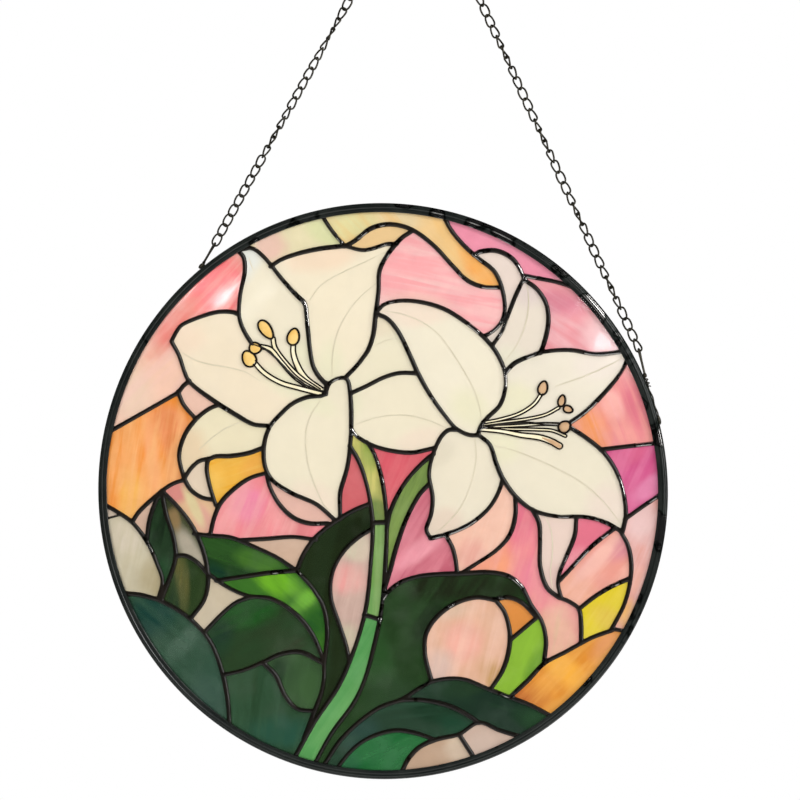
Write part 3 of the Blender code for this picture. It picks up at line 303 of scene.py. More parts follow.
# One entry for each pane: a point inside it, its material slot, its main colour, soft-edged areas of
# other colours as (x, z, half length, half width, lean, colour), and streaks as (lean, colour, share).
# Leans are degrees anticlockwise from level; colours are 0 to 255 as seen in even light.
CREAM = (242, 232, 207)
CREAM_PINK = (243, 226, 204)
CREAM_GREEN = (238, 232, 201)
GLASS = {
    "lily_a_high": ((-62, 95), "opal_white", CREAM, ((-80, 114, 14, 9, 60, (232, 232, 222)),
        (-46, 66, 12, 8, 50, CREAM_GREEN)), None),
    "lily_a_top": ((-30, 90), "opal_white", (245, 233, 206), ((-40, 120, 22, 8, 10, (247, 224, 196)),
        (-31, 62, 14, 9, 90, CREAM_GREEN)), None),
    "lily_a_left": ((-90, 65), "opal_white", (244, 229, 202), ((-108, 72, 12, 10, 0, (246, 224, 198)),
        (-48, 52, 20, 8, -20, CREAM_GREEN)), None),
    "lily_a_low": ((-40, 20), "opal_white", (241, 231, 205), ((-34, -6, 14, 8, -20, CREAM_PINK),
        (-38, 44, 14, 6, -20, CREAM_GREEN)), None),
    "lily_a_behind": ((-85, 25), "opal_white", (239, 228, 195), ((-104, 14, 12, 14, 60, (236, 213, 178)),),
        None),
    "lily_a_right_upper": ((-5, 70), "opal_white", (240, 231, 203), ((-8, 86, 12, 6, 0, (238, 224, 196)),),
        None),
    "lily_a_right_lower": ((5, 40), "opal_white", (241, 231, 205), ((20, 29, 14, 6, 20, CREAM_PINK),
        (-20, 44, 9, 9, 0, CREAM_GREEN)), None),
    "lily_b_wide": ((25, 75), "opal_white", (243, 234, 211), ((10, 94, 22, 7, 0, (246, 228, 207)),
        (44, 46, 9, 12, 60, CREAM_GREEN)), None),
    "lily_b_narrow": ((70, 92), "opal_white", (236, 224, 207), ((72, 110, 9, 10, 0, (230, 214, 205)), (62, 72,
        9, 9, 0, (236, 229, 207))), None),
    "lily_b_long": ((90, 65), "opal_white", (239, 230, 211), ((112, 75, 16, 9, 20, (240, 228, 214)),
        (66, 52, 12, 9, 40, CREAM_GREEN)), None),
    "lily_b_broad": ((95, 15), "opal_white", (238, 229, 206), ((122, 2, 12, 14, -60, (238, 222, 206)),
        (62, 28, 10, 9, 0, CREAM_GREEN)), None),
    "lily_b_front": ((45, 10), "opal_white", (238, 228, 205), ((34, -15, 12, 8, 20, (233, 214, 194)), (28, 22,
        7, 12, -60, (230, 220, 197))), None),
    "lily_b_low": ((93, -20), "opal_white", (236, 212, 198), ((94, -38, 7, 8, 0, (228, 198, 186)),), None),
    "lily_a_curl": ((-97, 0), "opal_white", (232, 212, 187), (), None),
    "lily_b_curl": ((60, 115), "opal_white", (238, 220, 207), (), None),
    "lily_b_sliver": ((55, 86), "opal_white", (230, 217, 203), (), None),
    "stem_high": ((-3, 5), "spring_green", (230, 216, 124), ((-5, 22, 6, 12, 0, (170, 190, 84)), (-1, -14, 8,
        12, 0, (112, 138, 78))), (95, (136, 152, 82), 0.5)),
    "stem_middle": ((2, -40), "spring_green", (112, 157, 77), ((1, -58, 8, 9, 0, (112, 163, 88)),), (92,
        (150, 180, 115), 0.6)),
    "stem_low": ((-15, -112), "emerald", (92, 162, 90), (), (60, (122, 182, 110), 0.6)),
    "second_stem": ((14, 0), "spring_green", (132, 158, 82), (), (70, (72, 95, 58), 0.5)),
    "sky_green": ((-45, 130), "pale_gold", (238, 226, 184), ((-66, 124, 9, 9, 0, (240, 200, 182)), (-38, 133,
        12, 7, -20, (226, 228, 172))), None),
    "ribbon_gold": ((10, 140), "pale_gold", (244, 206, 146), ((-26, 138, 20, 9, 0, (230, 224, 168)), (2, 142,
        12, 6, 0, (238, 216, 170)), (52, 118, 26, 11, -44, (252, 168, 84))), (-44, (248, 196, 116), 0.4)),
    "sky_amber": ((-10, 132), "amber", (240, 205, 150), (), None),
    "rose_heart": ((20, 110), "rose", (253, 176, 177), ((10, 96, 26, 8, 0, (250, 202, 190)),), (-8,
        (251, 208, 203), 0.6)),
    "rose_rim": ((75, 122), "rose", (243, 152, 173), ((92, 112, 9, 9, 0, (238, 176, 184)),), None),
    "rose_right": ((100, 95), "rose", (237, 156, 162), ((86, 104, 18, 7, 0, (222, 134, 152)), (112, 88, 14,
        10, -50, (248, 206, 206))), (-30, (246, 196, 198), 0.5)),
    "sunset_right": ((125, 55), "orange", (240, 152, 152), ((107, 39, 15, 11, -62, (245, 156, 84)), (118, 54,
        9, 5, -62, (254, 186, 178)), (131, 52, 16, 5, -66, (228, 122, 138))), (-64, (250, 178, 160), 0.5)),
    "magenta_right": ((135, 20), "magenta", (212, 87, 138), ((126, 26, 6, 16, -60, (222, 106, 142)), (140, 12,
        5, 12, -50, (230, 140, 176))), (70, (232, 130, 168), 0.5)),
    "blush_right": ((140, -20), "blush", (233, 170, 158), ((138, -4, 9, 12, 0, (232, 196, 192)), (136, -36, 8,
        8, 0, (238, 178, 160)), (134, -54, 8, 9, 0, (240, 184, 112))), (70, (246, 210, 206), 0.4)),
    "fan_rose": ((120, -30), "blush", (238, 162, 146), ((130, -18, 7, 12, -50, (224, 146, 156)), (106, -44,
        10, 12, 60, (240, 178, 150)), (116, -26, 4, 18, -40, (248, 192, 180))), (54, (248, 194, 176), 0.5)),
    "lemon": ((120, -50), "lemon", (229, 206, 44), ((126, -58, 7, 12, 60, (224, 190, 78)),), (60,
        (234, 212, 96), 0.4)),
    "blush_long": ((78, -20), "rose", (239, 141, 148), ((76, -6, 9, 16, 0, (232, 120, 142)), (60, -32, 12, 14,
        0, (248, 166, 128)), (84, -38, 9, 12, 0, (240, 140, 158)), (98, -68, 12, 20, 0, (224, 190, 156))),
        (80, (246, 178, 164), 0.4)),
    "magenta_wedge": ((107, -15), "magenta", (232, 122, 142), ((106, -30, 9, 9, 0, (244, 156, 166)),), None),
    "peach_upper": ((62, -10), "peach", (247, 197, 174), ((50, -30, 9, 9, 0, (238, 176, 160)),), (75,
        (250, 210, 188), 0.4)),
    "rose_lower": ((20, -30), "rose", (206, 111, 126), ((36, -46, 9, 10, 0, (196, 92, 112)), (8, -36, 7, 16,
        60, (200, 96, 118)), (22, -30, 5, 20, -50, (242, 164, 174))), (60, (236, 150, 162), 0.5)),
    "crimson_middle": ((8, 12), "crimson", (221, 95, 107), (), (70, (230, 128, 132), 0.4)),
    "crimson_left": ((-14, 3), "crimson", (214, 106, 110), (), None),
    "rose_left": ((-125, 60), "rose", (250, 207, 182), ((-94, 102, 24, 22, 40, (248, 100, 106)), (-116, 78,
        20, 10, 60, (242, 136, 124)), (-134, 40, 12, 14, 0, (243, 212, 186))), (50, (250, 206, 196), 0.4)),
    "rose_small": ((-98, 40), "rose", (241, 199, 178), (), None),
    "orange_left": ((-130, 0), "orange", (245, 149, 60), ((-112, 24, 10, 14, 20, (240, 152, 100)), (-108, 0,
        5, 26, 10, (222, 128, 70)), (-132, -12, 8, 16, 0, (250, 190, 100)), (-122, 10, 4, 24, 10,
        (252, 176, 120))), (84, (252, 192, 130), 0.6)),
    "blush_left": ((-100, -18), "blush", (230, 190, 150), ((-108, -8, 7, 7, 0, (222, 142, 134)), (-92, -22,
        10, 5, -60, (228, 172, 154)), (-98, -15, 12, 3, -60, (226, 210, 162))), None),
    "amber_left": ((-80, 5), "amber", (244, 174, 36), ((-66, 8, 9, 9, 0, (238, 152, 50)), (-88, -2, 7, 9, 0,
        (246, 192, 84))), (20, (246, 200, 104), 0.5)),
    "rose_large": ((-65, -15), "rose", (245, 143, 149), ((-42, -18, 9, 14, 0, (228, 136, 138)), (-68, -12, 12,
        10, 72, (242, 140, 170))), (72, (246, 182, 176), 0.5)),
    "blush_sliver": ((-48, -10), "blush", (234, 189, 173), (), None),
    "beige_middle": ((-50, -33), "beige", (212, 180, 156), (), None),
    "beige_stem": ((-12, -50), "beige", (201, 169, 156), ((-14, -47, 12, 8, 0, (236, 164, 158)), (-10, -30, 8,
        7, 0, (212, 204, 176)), (-12, -80, 9, 10, 0, (204, 194, 166))), (80, (226, 196, 180), 0.4)),
    "beige_left": ((-125, -45), "beige", (208, 198, 172), ((-115, -56, 10, 12, 0, (178, 164, 126)), (-134,
        -32, 10, 10, 0, (224, 212, 192))), (80, (196, 184, 154), 0.4)),
    "peach_chip": ((-123, -22), "peach", (214, 180, 158), (), None),
    "beige_chip": ((-140.7, -22.1), "beige", (214, 196, 176), (), None),
    "beige_diamond": ((-83, -62), "beige", (206, 191, 165), (), None),
    "peach_round": ((50, -75), "peach", (230, 182, 152), ((48, -74, 11, 12, 0, (243, 180, 162)), (40, -58, 14,
        7, 10, (226, 194, 168)), (36, -88, 9, 10, 0, (220, 190, 176)), (66, -90, 8, 9, 30, (196, 152, 90))),
        (80, (246, 204, 184), 0.4)),
    "orange_wedge": ((73, -57), "orange", (224, 145, 71), (), None),
    "orange_right": ((105, -90), "orange", (228, 148, 56), ((78, -106, 16, 12, 30, (192, 104, 54)), (104, -86,
        7, 14, 55, (250, 182, 70)), (124, -72, 9, 12, 0, (232, 160, 104))), (48, (246, 184, 96), 0.5)),
    "beige_low": ((40, -132), "beige", (196, 166, 140), ((52, -130, 8, 9, 0, (214, 192, 168)),), None),
    "blush_low": ((65, -124), "blush", (208, 182, 165), (), None),
    "bud_left": ((-115, -40), "dark_green", (38, 61, 38), ((-112, -54, 6, 10, 0, (44, 80, 50)), (-116, -24, 5,
        12, 0, (22, 38, 22))), (80, (48, 78, 46), 0.5)),
    "bud_right": ((-98, -35), "dark_green", (84, 88, 60), ((-98, -38, 15, 5, -56, (196, 184, 164)), (-108,
        -21.5, 8, 3, -70, (158, 130, 88)), (-113, -12, 7, 5, -56, (56, 64, 40))), None),
    "bud_body": ((-98, -60), "dark_green", (46, 66, 34), ((-101.5, -55, 4, 15, 8, (108, 104, 58)), (-106, -66,
        4, 8, 0, (40, 60, 40))), (84, (64, 82, 46), 0.4)),
    "leaf_upper": ((-75, -42), "leaf_green", (28, 60, 26), ((-62, -41, 14, 5, -12, (84, 132, 46)), (-84, -48,
        8, 5, -30, (20, 54, 40))), (-15, (56, 98, 42), 0.5)),
    "leaf_bright": ((-45, -55), "leaf_green", (64, 116, 42), ((-50, -51, 15, 8, -30, (116, 182, 44)), (-28,
        -70, 7, 16, -50, (38, 88, 38)), (-36, -60, 5, 10, -50, (120, 186, 60))), (-35, (52, 104, 34), 0.5)),
    "leaf_arch": ((-28, -40), "dark_green", (34, 46, 22), ((-30, -92, 9, 22, 0, (48, 72, 50)), (-14, -22, 12,
        6, 30, (30, 40, 20))), (80, (42, 60, 36), 0.4)),
    "leaf_mound": ((-55, -80), "dark_green", (46, 66, 39), ((-66, -68, 18, 8, 20, (34, 88, 34)), (-44, -86,
        12, 12, 0, (58, 66, 46)), (-80, -84, 8, 12, 0, (32, 58, 44))), (30, (46, 78, 46), 0.5)),
    "leaf_shell": ((-35, -105), "dark_green", (58, 86, 52), ((-46, -98, 8, 10, 0, (44, 66, 44)), (-30, -104,
        6, 10, 0, (66, 98, 58))), (80, (72, 104, 66), 0.5)),
    "leaf_shore": ((-95, -95), "teal", (50, 80, 60), ((-116, -74, 12, 12, 0, (26, 66, 58)), (-82, -112, 12,
        16, 0, (56, 86, 72)), (-98, -86, 5, 18, -40, (78, 104, 86))), (-35, (62, 94, 74), 0.5)),
    "leaf_hollow": ((-55, -115), "teal", (46, 76, 50), ((-44, -130, 18, 9, 0, (44, 88, 70)), (-66, -104, 8,
        12, 0, (56, 78, 52))), (88, (62, 96, 70), 0.5)),
    "leaf_crest": ((20, -75), "dark_green", (40, 66, 34), ((46, -46, 38, 9, 3, (34, 40, 24)), (2, -84, 10, 24,
        20, (46, 84, 42)), (12, -110, 16, 14, 30, (50, 74, 48)), (30, -66, 14, 6, 60, (34, 50, 30))), (60,
        (50, 80, 44), 0.35)),
    "leaf_lime": ((82, -80), "lime", (144, 188, 60), ((88, -86, 5, 12, -20, (104, 152, 50)),), (70,
        (128, 172, 58), 0.4)),
    "leaf_wave_upper": ((65, -108), "dark_green", (32, 54, 40), ((92, -114, 14, 7, -20, (44, 76, 48)), (52,
        -98, 16, 5, 12, (40, 64, 42))), (-12, (44, 72, 50), 0.5)),
    "leaf_wave_lower": ((35, -115), "dark_green", (45, 70, 52), ((-2, -128, 12, 9, 30, (48, 76, 66)), (38,
        -112, 16, 6, 0, (30, 60, 40)), (52, -120, 12, 5, -20, (30, 72, 50))), (14, (52, 84, 64), 0.5)),
    "leaf_floor": ((5, -138), "teal", (36, 108, 56), ((-10, -142, 9, 9, 0, (40, 88, 66)),), (30,
        (62, 128, 76), 0.5)),
}

# ---------------------------------------------------------------- curves in the panel's plane
def catmull_rom(a, b, c, d, shares):
    """Points between b and c on the centripetal curve through a, b, c and d."""
    first = np.linalg.norm(b - a) ** 0.5
    second = first + np.linalg.norm(c - b) ** 0.5
    third = second + np.linalg.norm(d - c) ** 0.5
    t = first + (second - first) * shares[:, None]
    ab = (a * (first - t) + b * t) / first
    bc = (b * (second - t) + c * (t - first)) / (second - first)
    cd = (c * (third - t) + d * (t - second)) / (third - second)
    abc = (ab * (second - t) + bc * t) / second
    bcd = (bc * (third - t) + cd * (t - first)) / (third - first)
    return (abc * (second - t) + bcd * (t - first)) / (second - first)


def smooth_curve(points, step):
    """Even samples of the smooth curve through the points."""
    points = [np.array(p, float) for p in points]
    guide = [2 * points[0] - points[1], *points, 2 * points[-1] - points[-2]]
    samples = []
    for a, b, c, d in zip(guide, guide[1:], guide[2:], guide[3:]):
        count = max(1, math.ceil(np.linalg.norm(c - b) / step))
        samples.extend(catmull_rom(a, b, c, d, np.arange(count) / count))
    return np.array([*samples, points[-1]])


def circle(radius, steps, center=(0.0, 0.0)):
    angles = np.arange(steps) * 2 * math.pi / steps
    return np.stack([np.cos(angles), np.sin(angles)], axis=1) * radius + center


def sideways(line):
    """The unit vector to the left of the line at each of its points."""
    along = np.gradient(line, axis=0)
    along /= np.linalg.norm(along, axis=1)[:, None]
    return np.stack([-along[:, 1], along[:, 0]], axis=1)


def lead_halves(name, line):
    """Half the lead's width at each point: hand-soldered, so never quite even."""
    width = THIN_LEAD_WIDTH if name in THIN_LEADS else LEAD_WIDTH
    phase = 1.7 * list(LEADS).index(name)
    wave = np.sin(line[:, 0] / 9 + phase) + np.sin(line[:, 1] / 6.5 - 2 * phase)
    return width / 2 * (LEAD_SHARE + LEAD_UNEVEN * wave)


def lead_shapes():
    """Outlines that together cover every lead line, and points along the inside of each."""
    shapes, rows = [], []
    for name, points in LEADS.items():
        line = smooth_curve(points, CURVE_STEP)
        half = lead_halves(name, line)
        side = sideways(line) * half[:, None]
        shapes.append(np.concatenate([line - side, (line + side)[::-1]]))
        shapes += [circle(half[k], DOT_STEPS, line[k]) for k in (0, -1)]
        rows += [line + side * share for share in LEAD_ROWS]
    return shapes, np.concatenate(rows)


def triangulate(outlines, spare=None):
    """Points, triangles, and for each triangle the set of outlines that cover it."""
    starts = np.cumsum([0] + [len(outline) for outline in outlines])
    loops = [list(range(a, b)) for a, b in zip(starts, starts[1:])]
    places = np.concatenate([*outlines, spare] if spare is not None and len(spare) else outlines)
    points, _, faces, _, _, owners = delaunay_2d_cdt([Vector(p) for p in places], [], loops, 0, 1e-5)
    return np.array(points), faces, [set(owner) for owner in owners]


def outer_loop(triangles):
    """The longest closed loop of corner numbers round a group of triangles."""
    edges = {(tri[k - 1], tri[k]) for tri in triangles for k in range(3)}
    after = {a: b for a, b in edges if (b, a) not in edges}
    loops = []
    while after:
        loop = [min(after)]
        while loop[-1] in after:
            loop.append(after.pop(loop[-1]))
        loops.append(loop[:-1])
    return max(loops, key=len)


def area(outline):
    x, y = outline.T
    return (x * np.roll(y, -1) - y * np.roll(x, -1)).sum() / 2


def simplify_open(line):
    """Douglas and Peucker's line with fewer points, never further away than TOLERANCE."""
    if len(line) < 3:
        return line
    chord = line[-1] - line[0]
    offset = line - line[0]
    distance = abs(offset[:, 0] * chord[1] - offset[:, 1] * chord[0]) / np.linalg.norm(chord)
    far = int(distance.argmax())
    if distance[far] < TOLERANCE:
        return line[[0, -1]]
    return np.concatenate([simplify_open(line[: far + 1])[:-1], simplify_open(line[far:])])


def simplify(outline):
    """A closed outline with fewer points, split first at its sharpest corner."""
    before = outline - np.roll(outline, 1, axis=0)
    after = np.roll(outline, -1, axis=0) - outline
    turn = (before * after).sum(axis=1) / (np.linalg.norm(before, axis=1) * np.linalg.norm(after, axis=1))
    outline = np.roll(outline, -int(turn.argmin()), axis=0)
    closed = np.concatenate([outline, outline[:1]])
    far = int(np.linalg.norm(closed - closed[0], axis=1).argmax())
    return np.concatenate([simplify_open(closed[: far + 1])[:-1], simplify_open(closed[far:])[:-1]])


def divided(outline, step):
    """A closed outline with points added so that none are further apart than the step."""
    points = []
    for a, b in zip(outline, np.roll(outline, -1, axis=0)):
        count = max(1, math.ceil(np.linalg.norm(b - a) / step))
        points.extend(a + (b - a) * k / count for k in range(count))
    return np.array(points)


def rounded(outline):
    """A closed outline whose corners are softened, as solder fills them."""
    points = divided(outline, CORNER_SPAN / 4)
    padded = np.concatenate([points[-2:], points, points[:2]])
    soft = sum(padded[k: k + len(points)] * share for k, share in enumerate((0.12, 0.23, 0.3, 0.23, 0.12)))
    return simplify(soft)


def cells(shapes):
    """Outlines, anticlockwise, of the openings between the lead lines."""
    border = circle(CAME_INNER, BORDER_STEPS)
    points, faces, owners = triangulate([border, *shapes])
    free = [tuple(face) for face, owner in zip(faces, owners) if owner == {0}]
    group = list(range(len(free)))

    def root(k):
        while group[k] != k:
            group[k] = group[group[k]]
            k = group[k]
        return k

    owner_of = {(tri[k - 1], tri[k]): number for number, tri in enumerate(free) for k in range(3)}
    for (a, b), number in owner_of.items():
        if (b, a) in owner_of:
            group[root(number)] = root(owner_of[b, a])
    gathered = {}
    for number, tri in enumerate(free):
        gathered.setdefault(root(number), []).append(tri)
    outlines = [points[outer_loop(tris)] for tris in gathered.values()]
    outlines = [o if area(o) > 0 else o[::-1] for o in outlines]
    return [rounded(simplify(o)) for o in outlines if area(o) > SMALLEST_CELL]


def all_inside(outline, places):
    """For each place, whether it lies in the closed outline."""
    first, second = outline, np.roll(outline, -1, axis=0)
    x, y = places[:, 0][:, None], places[:, 1][:, None]
    crosses = (first[:, 1] > y) != (second[:, 1] > y)
    rise = np.where(crosses, second[:, 1] - first[:, 1], 1.0)
    at = first[:, 0] + (y - first[:, 1]) * (second[:, 0] - first[:, 0]) / rise
    return (crosses & (x < at)).sum(axis=1) % 2 == 1


def grown(outline, distance):
    """An anticlockwise outline moved outwards by the distance, its sharpest corners cut short."""
    along = np.roll(outline, -1, axis=0) - outline
    along /= np.linalg.norm(along, axis=1)[:, None]
    outward = np.stack([along[:, 1], -along[:, 0]], axis=1)
    before = np.roll(outward, 1, axis=0)
    share = np.maximum(1 + (outward * before).sum(axis=1), 0.4)
    return outline + (outward + before) / share[:, None] * distance


def nearest(points):
    """A finder of the nearest of some points in the panel's plane."""
    tree = kdtree.KDTree(len(points))
    for k, (x, z) in enumerate(points):
        tree.insert((x, z, 0), k)
    tree.balance()
    return tree


def spread_out(points, apart):
    """The first of the points in each square of the given size."""
    kept, taken = [], set()
    for x, z in points:
        key = (round(x / apart), round(z / apart))
        if key not in taken:
            taken.add(key)
            kept.append((x, z))
    return np.array(kept)


# ---------------------------------------------------------------- meshes
def skin(count, wide, closed=False):
    """Faces round a row of rings of points, with flat ends unless the row closes on itself."""
    faces = []
    for k in range(count if closed else count - 1):
        a, b = k * wide, (k + 1) % count * wide
        faces.extend((a + n, a + (n + 1) % wide, b + (n + 1) % wide, b + n) for n in range(wide))
    if not closed:
        faces += [tuple(range(wide)), tuple(range((count - 1) * wide, count * wide))]
    return faces


def to_world(points):
    """(x, y, z) in millimetres from the panel's centre as places in metres."""
    return (np.asarray(points, float) - (0, 0, PANEL_DROP)) * MM


def new_mesh(name, vertices, faces, smooth=None):
    """A mesh object from places in metres, its faces turned outwards."""
    mesh = bpy.data.meshes.new(name)
    mesh.from_pydata([tuple(v) for v in vertices], [], faces)
    shape = bmesh.new()
    shape.from_mesh(mesh)
    bmesh.ops.recalc_face_normals(shape, faces=shape.faces)
    shape.to_mesh(mesh)
    shape.free()
    if smooth is not None:
        mesh.shade_smooth()
        mesh.set_sharp_from_angle(angle=math.radians(smooth))
    made = bpy.data.objects.new(name, mesh)
    bpy.context.scene.collection.objects.link(made)
    return made


def slab(name, outlines, spare, height, smooth):
    """A closed slab, alike on both sides: outlines after the first are holes, height its half depth."""
    points, faces, owners = triangulate(outlines, spare)
    kept = [tuple(face) for face, owner in zip(faces, owners) if owner == {0}]
    used = sorted({k for face in kept for k in face})
    number = {k: n for n, k in enumerate(used)}
    kept = [tuple(number[k] for k in face) for face in kept]
    points = points[used]
    half = height(points)
    count = len(points)
    edges = {(tri[k - 1], tri[k]) for tri in kept for k in range(3)}
    walls = [(b, a, a + count, b + count) for a, b in sorted(edges) if (b, a) not in edges]
    back = [tuple(k + count for k in reversed(face)) for face in kept]
    front = np.column_stack([points[:, 0], -half, points[:, 1]])
    rear = np.column_stack([points[:, 0], half, points[:, 1]])
    return new_mesh(name, to_world(np.concatenate([front, rear])), kept + back + walls, smooth)


def finish_piece(piece, material, replaced=()):
    """Gives the piece its material and its place in the model."""
    piece.data.materials.clear()
    piece.data.materials.append(material)
    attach(piece, "root")
    if replaced:
        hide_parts(*replaced)
    return piece


def join(name, meshes, smooth=None):
    """One mesh object from several (vertices, faces)."""
    vertices, faces = [], []
    for more, rest in meshes:
        first = len(vertices)
        vertices.extend(more)
        faces.extend(tuple(first + k for k in face) for face in rest)
    return new_mesh(name, vertices, faces, smooth)


# ---------------------------------------------------------------- glass and lead
def pane_openings():
    """All the openings, the one that each named pane fills, and the points inside the leads."""
    shapes, rows = lead_shapes()
    found = {}
    openings = cells(shapes)
    for name, (place, *_) in GLASS.items():
        for outline in openings:
            if all_inside(outline, np.array([place]))[0]:
                found[name] = outline
    return openings, found, rows


def make_pane(name, outline, number):
    """A pane whose edges are tucked under the lead, with hand-rolled faces that are never quite flat."""
    edge = divided(grown(outline, GLASS_TUCK), PANE_STEP)
    low, high = edge.min(axis=0), edge.max(axis=0)
    across, up = (np.arange(a, b, CELL_STEP) for a, b in zip(low, high))
    grid = np.stack(np.meshgrid(across, up), axis=2)
    grid = grid.reshape(-1, 2) + CELL_STEP / 2
    grid[:, 0] += (np.round(grid[:, 1] / CELL_STEP) % 2 - 0.5) * CELL_STEP / 2
    grid = grid[all_inside(grown(edge, -CELL_CLEAR), grid)] if len(grid) else grid

    def height(points):
        x, z = points[:, 0], points[:, 1]
        wave = np.sin(x / 7.3 + number) * np.sin(z / 9.1 + 2 * number)
        wave += 0.6 * np.sin(x / 3.9 - z / 4.7 + number)
        return GLASS_HALF + GLASS_RIPPLE * (wave - 1.6) / 1.6
    return slab("glass_" + name, [edge], grid, height, 40)


def make_came(openings, rows):
    """All the lead in one piece, domed along every line as solder leaves it."""
    openings = [divided(outline, EDGE_STEP) for outline in openings]
    edges = np.concatenate([divided(outline, EDGE_PROBE) for outline in openings])
    finder = nearest(edges)
    border = [circle(radius, BORDER_STEPS) for radius in BORDER_ROWS]
    spare = np.concatenate([rows, *border])
    spare = spare[np.linalg.norm(spare, axis=1) < CAME_OUTER - 0.3]
    clear = []
    for x, z in spread_out(spare, ROW_APART):
        _, _, far = finder.find((x, z, 0))
        if far > EDGE_CLEAR:
            clear.append((x, z))
    clear = np.array(clear)
    hidden = np.zeros(len(clear), bool)
    for outline in openings:
        hidden |= all_inside(outline, clear)
    clear = clear[~hidden]

    def height(points):
        far = np.array([finder.find((x, z, 0))[2] for x, z in points])
        radius = np.linalg.norm(points, axis=1)
        far = np.minimum(far, np.maximum(BORDER_RISE - radius, 0))
        crown = np.sqrt(1 - (1 - np.minimum(far / (LEAD_WIDTH / 2), 1)) ** 2)
        lumps = 0.07 * np.sin(points[:, 0] / 2.1) * np.sin(points[:, 1] / 2.7 + 1)
        lumps += 0.09 * np.sin(points[:, 0] / 5.3 + points[:, 1] / 4.1)
        return LEAD_FOOT + crown * (LEAD_RISE + lumps)
    return slab("lead_lines", [circle(CAME_OUTER, BORDER_STEPS), *openings], clear, height, 50)


# ---------------------------------------------------------------- frame, ring, chains and wire eyes
def unit(vector):
    return np.asarray(vector, float) / np.linalg.norm(vector)


def tube(path, radii, sides, closed=False):
    """Vertices and faces of a round wire along a path, its ends closed unless it is a loop."""
    path = np.asarray(path, float)
    radii = np.broadcast_to(radii, len(path))
    if closed:
        along = np.roll(path, -1, axis=0) - np.roll(path, 1, axis=0)
    else:
        along = np.gradient(path, axis=0)
    along /= np.linalg.norm(along, axis=1)[:, None]
    start = unit(np.cross(along[0], (0.31, 0.52, 0.79)))   # any way that no path here starts along
    sideways_of = [start]
    for before, after in zip(along, along[1:]):
        moved = sideways_of[-1] - after * sideways_of[-1].dot(after)
        sideways_of.append(unit(moved))
    slip = 0.0
    if closed:
        back = unit(sideways_of[-1] - along[0] * sideways_of[-1].dot(along[0]))
        slip = math.atan2(np.cross(start, back).dot(along[0]), start.dot(back))
    vertices, count = [], len(path)
    for k in range(count):
        aside = sideways_of[k]
        other = np.cross(along[k], aside)
        for side in range(sides):
            angle = 2 * math.pi * side / sides - slip * k / count
            vertices.append(path[k] + (aside * math.cos(angle) + other * math.sin(angle)) * radii[k])
    return vertices, skin(count, sides, closed)


def drop(middle, along, radii, seed):
    """Vertices and faces of an uneven solder drop, its first radius along the direction given."""
    along = unit(along)
    aside = unit(np.cross(along, (0, 1, 0)))
    other = np.cross(along, aside)
    vertices, faces = [np.array(middle) + along * radii[0]], []
    rows, steps = 9, 18
    for row in range(1, rows):
        lean = math.pi * row / rows
        for step in range(steps):
            turn = 2 * math.pi * step / steps
            lump = 1 + 0.06 * math.sin(3 * turn + seed) * math.sin(lean) + 0.04 * math.sin(5 * lean + seed)
            reach = aside * math.cos(turn) * radii[1] + other * math.sin(turn) * radii[2]
            vertices.append(middle + along * math.cos(lean) * radii[0] + reach * math.sin(lean) * lump)
    last = len(vertices)
    vertices.append(np.array(middle) - along * radii[0])
    for step in range(steps):
        n = (step + 1) % steps
        faces.append((0, 1 + step, 1 + n))
        for row in range(rows - 2):
            a, b = 1 + row * steps, 1 + (row + 1) * steps
            faces.append((a + step, b + step, b + n, a + n))
        faces.append((last, last - steps + n, last - steps + step))
    return vertices, faces


def make_frame():
    """The rim: a U channel, open inwards, with a crowned face and a fine bead near its outside."""
    half = np.array(FRAME_PROFILE)
    mirrored = [(r, -y) for r, y in half[::-1] if y < 0]
    profile = np.array([*half, *mirrored])
    vertices = []
    for step in range(FRAME_STEPS):
        angle = 2 * math.pi * step / FRAME_STEPS
        uneven = 0.05 * math.sin(7 * angle) + 0.04 * math.sin(17 * angle + 1)
        for r, y in profile:
            reach = r + (uneven if FRAME_FACE[0] < r < FRAME_FACE[1] else 0)
            vertices.append((reach * math.sin(angle), y, reach * math.cos(angle)))
    return new_mesh("rim", to_world(vertices), skin(FRAME_STEPS, len(profile), True), 42)


def link_path(center, direction, turn):
    """The middle of a curb link's wire: a rounded oval whose two ends are twisted opposite ways."""
    front = np.array((0.0, -1.0, 0.0))
    face = np.cross(front, direction)
    path = []
    for step in range(LINK_STEPS):
        angle = 2 * math.pi * step / LINK_STEPS
        reach, width = (math.copysign(abs(v) ** LINK_SQUARE, v) for v in (math.cos(angle), math.sin(angle)))
        lean = turn + math.radians(LINK_TWIST) * math.cos(angle)
        across = face * math.cos(lean) + front * math.sin(lean)
        path.append(center + direction * LINK_REACH * reach + across * LINK_HALF_WIDTH * width)
    return path


def make_chain(name, top, bottom, turns):
    """Curb links from the hanging ring down to a wire eye, each hooked in the next."""
    run = bottom - top
    length = np.linalg.norm(run)
    direction = run / length
    count = round((length - LINK_PITCH) / LINK_PITCH)
    pitch = (length - 2 * LINK_REACH) / count
    links = []
    for number in range(count + 1):
        turn = float(np.interp(count - number, *zip(*turns)))
        turn += 5 * math.sin(2.4 * number) + 3 * math.sin(5.1 * number)
        center = top + direction * (LINK_REACH + pitch * number)
        path = link_path(center, direction, math.radians(turn))
        vertices, faces = tube(path, LINK_WIRE / 2, LINK_SIDES, True)
        links.append((to_world(vertices), faces))
    return join(name, links, 60)


def rim_point(degrees, rise):
    """A place that far outside the frame, by its angle clockwise from the panel's top."""
    angle = math.radians(degrees)
    return np.array((math.sin(angle), 0, math.cos(angle))) * (PANEL_RADIUS + rise)


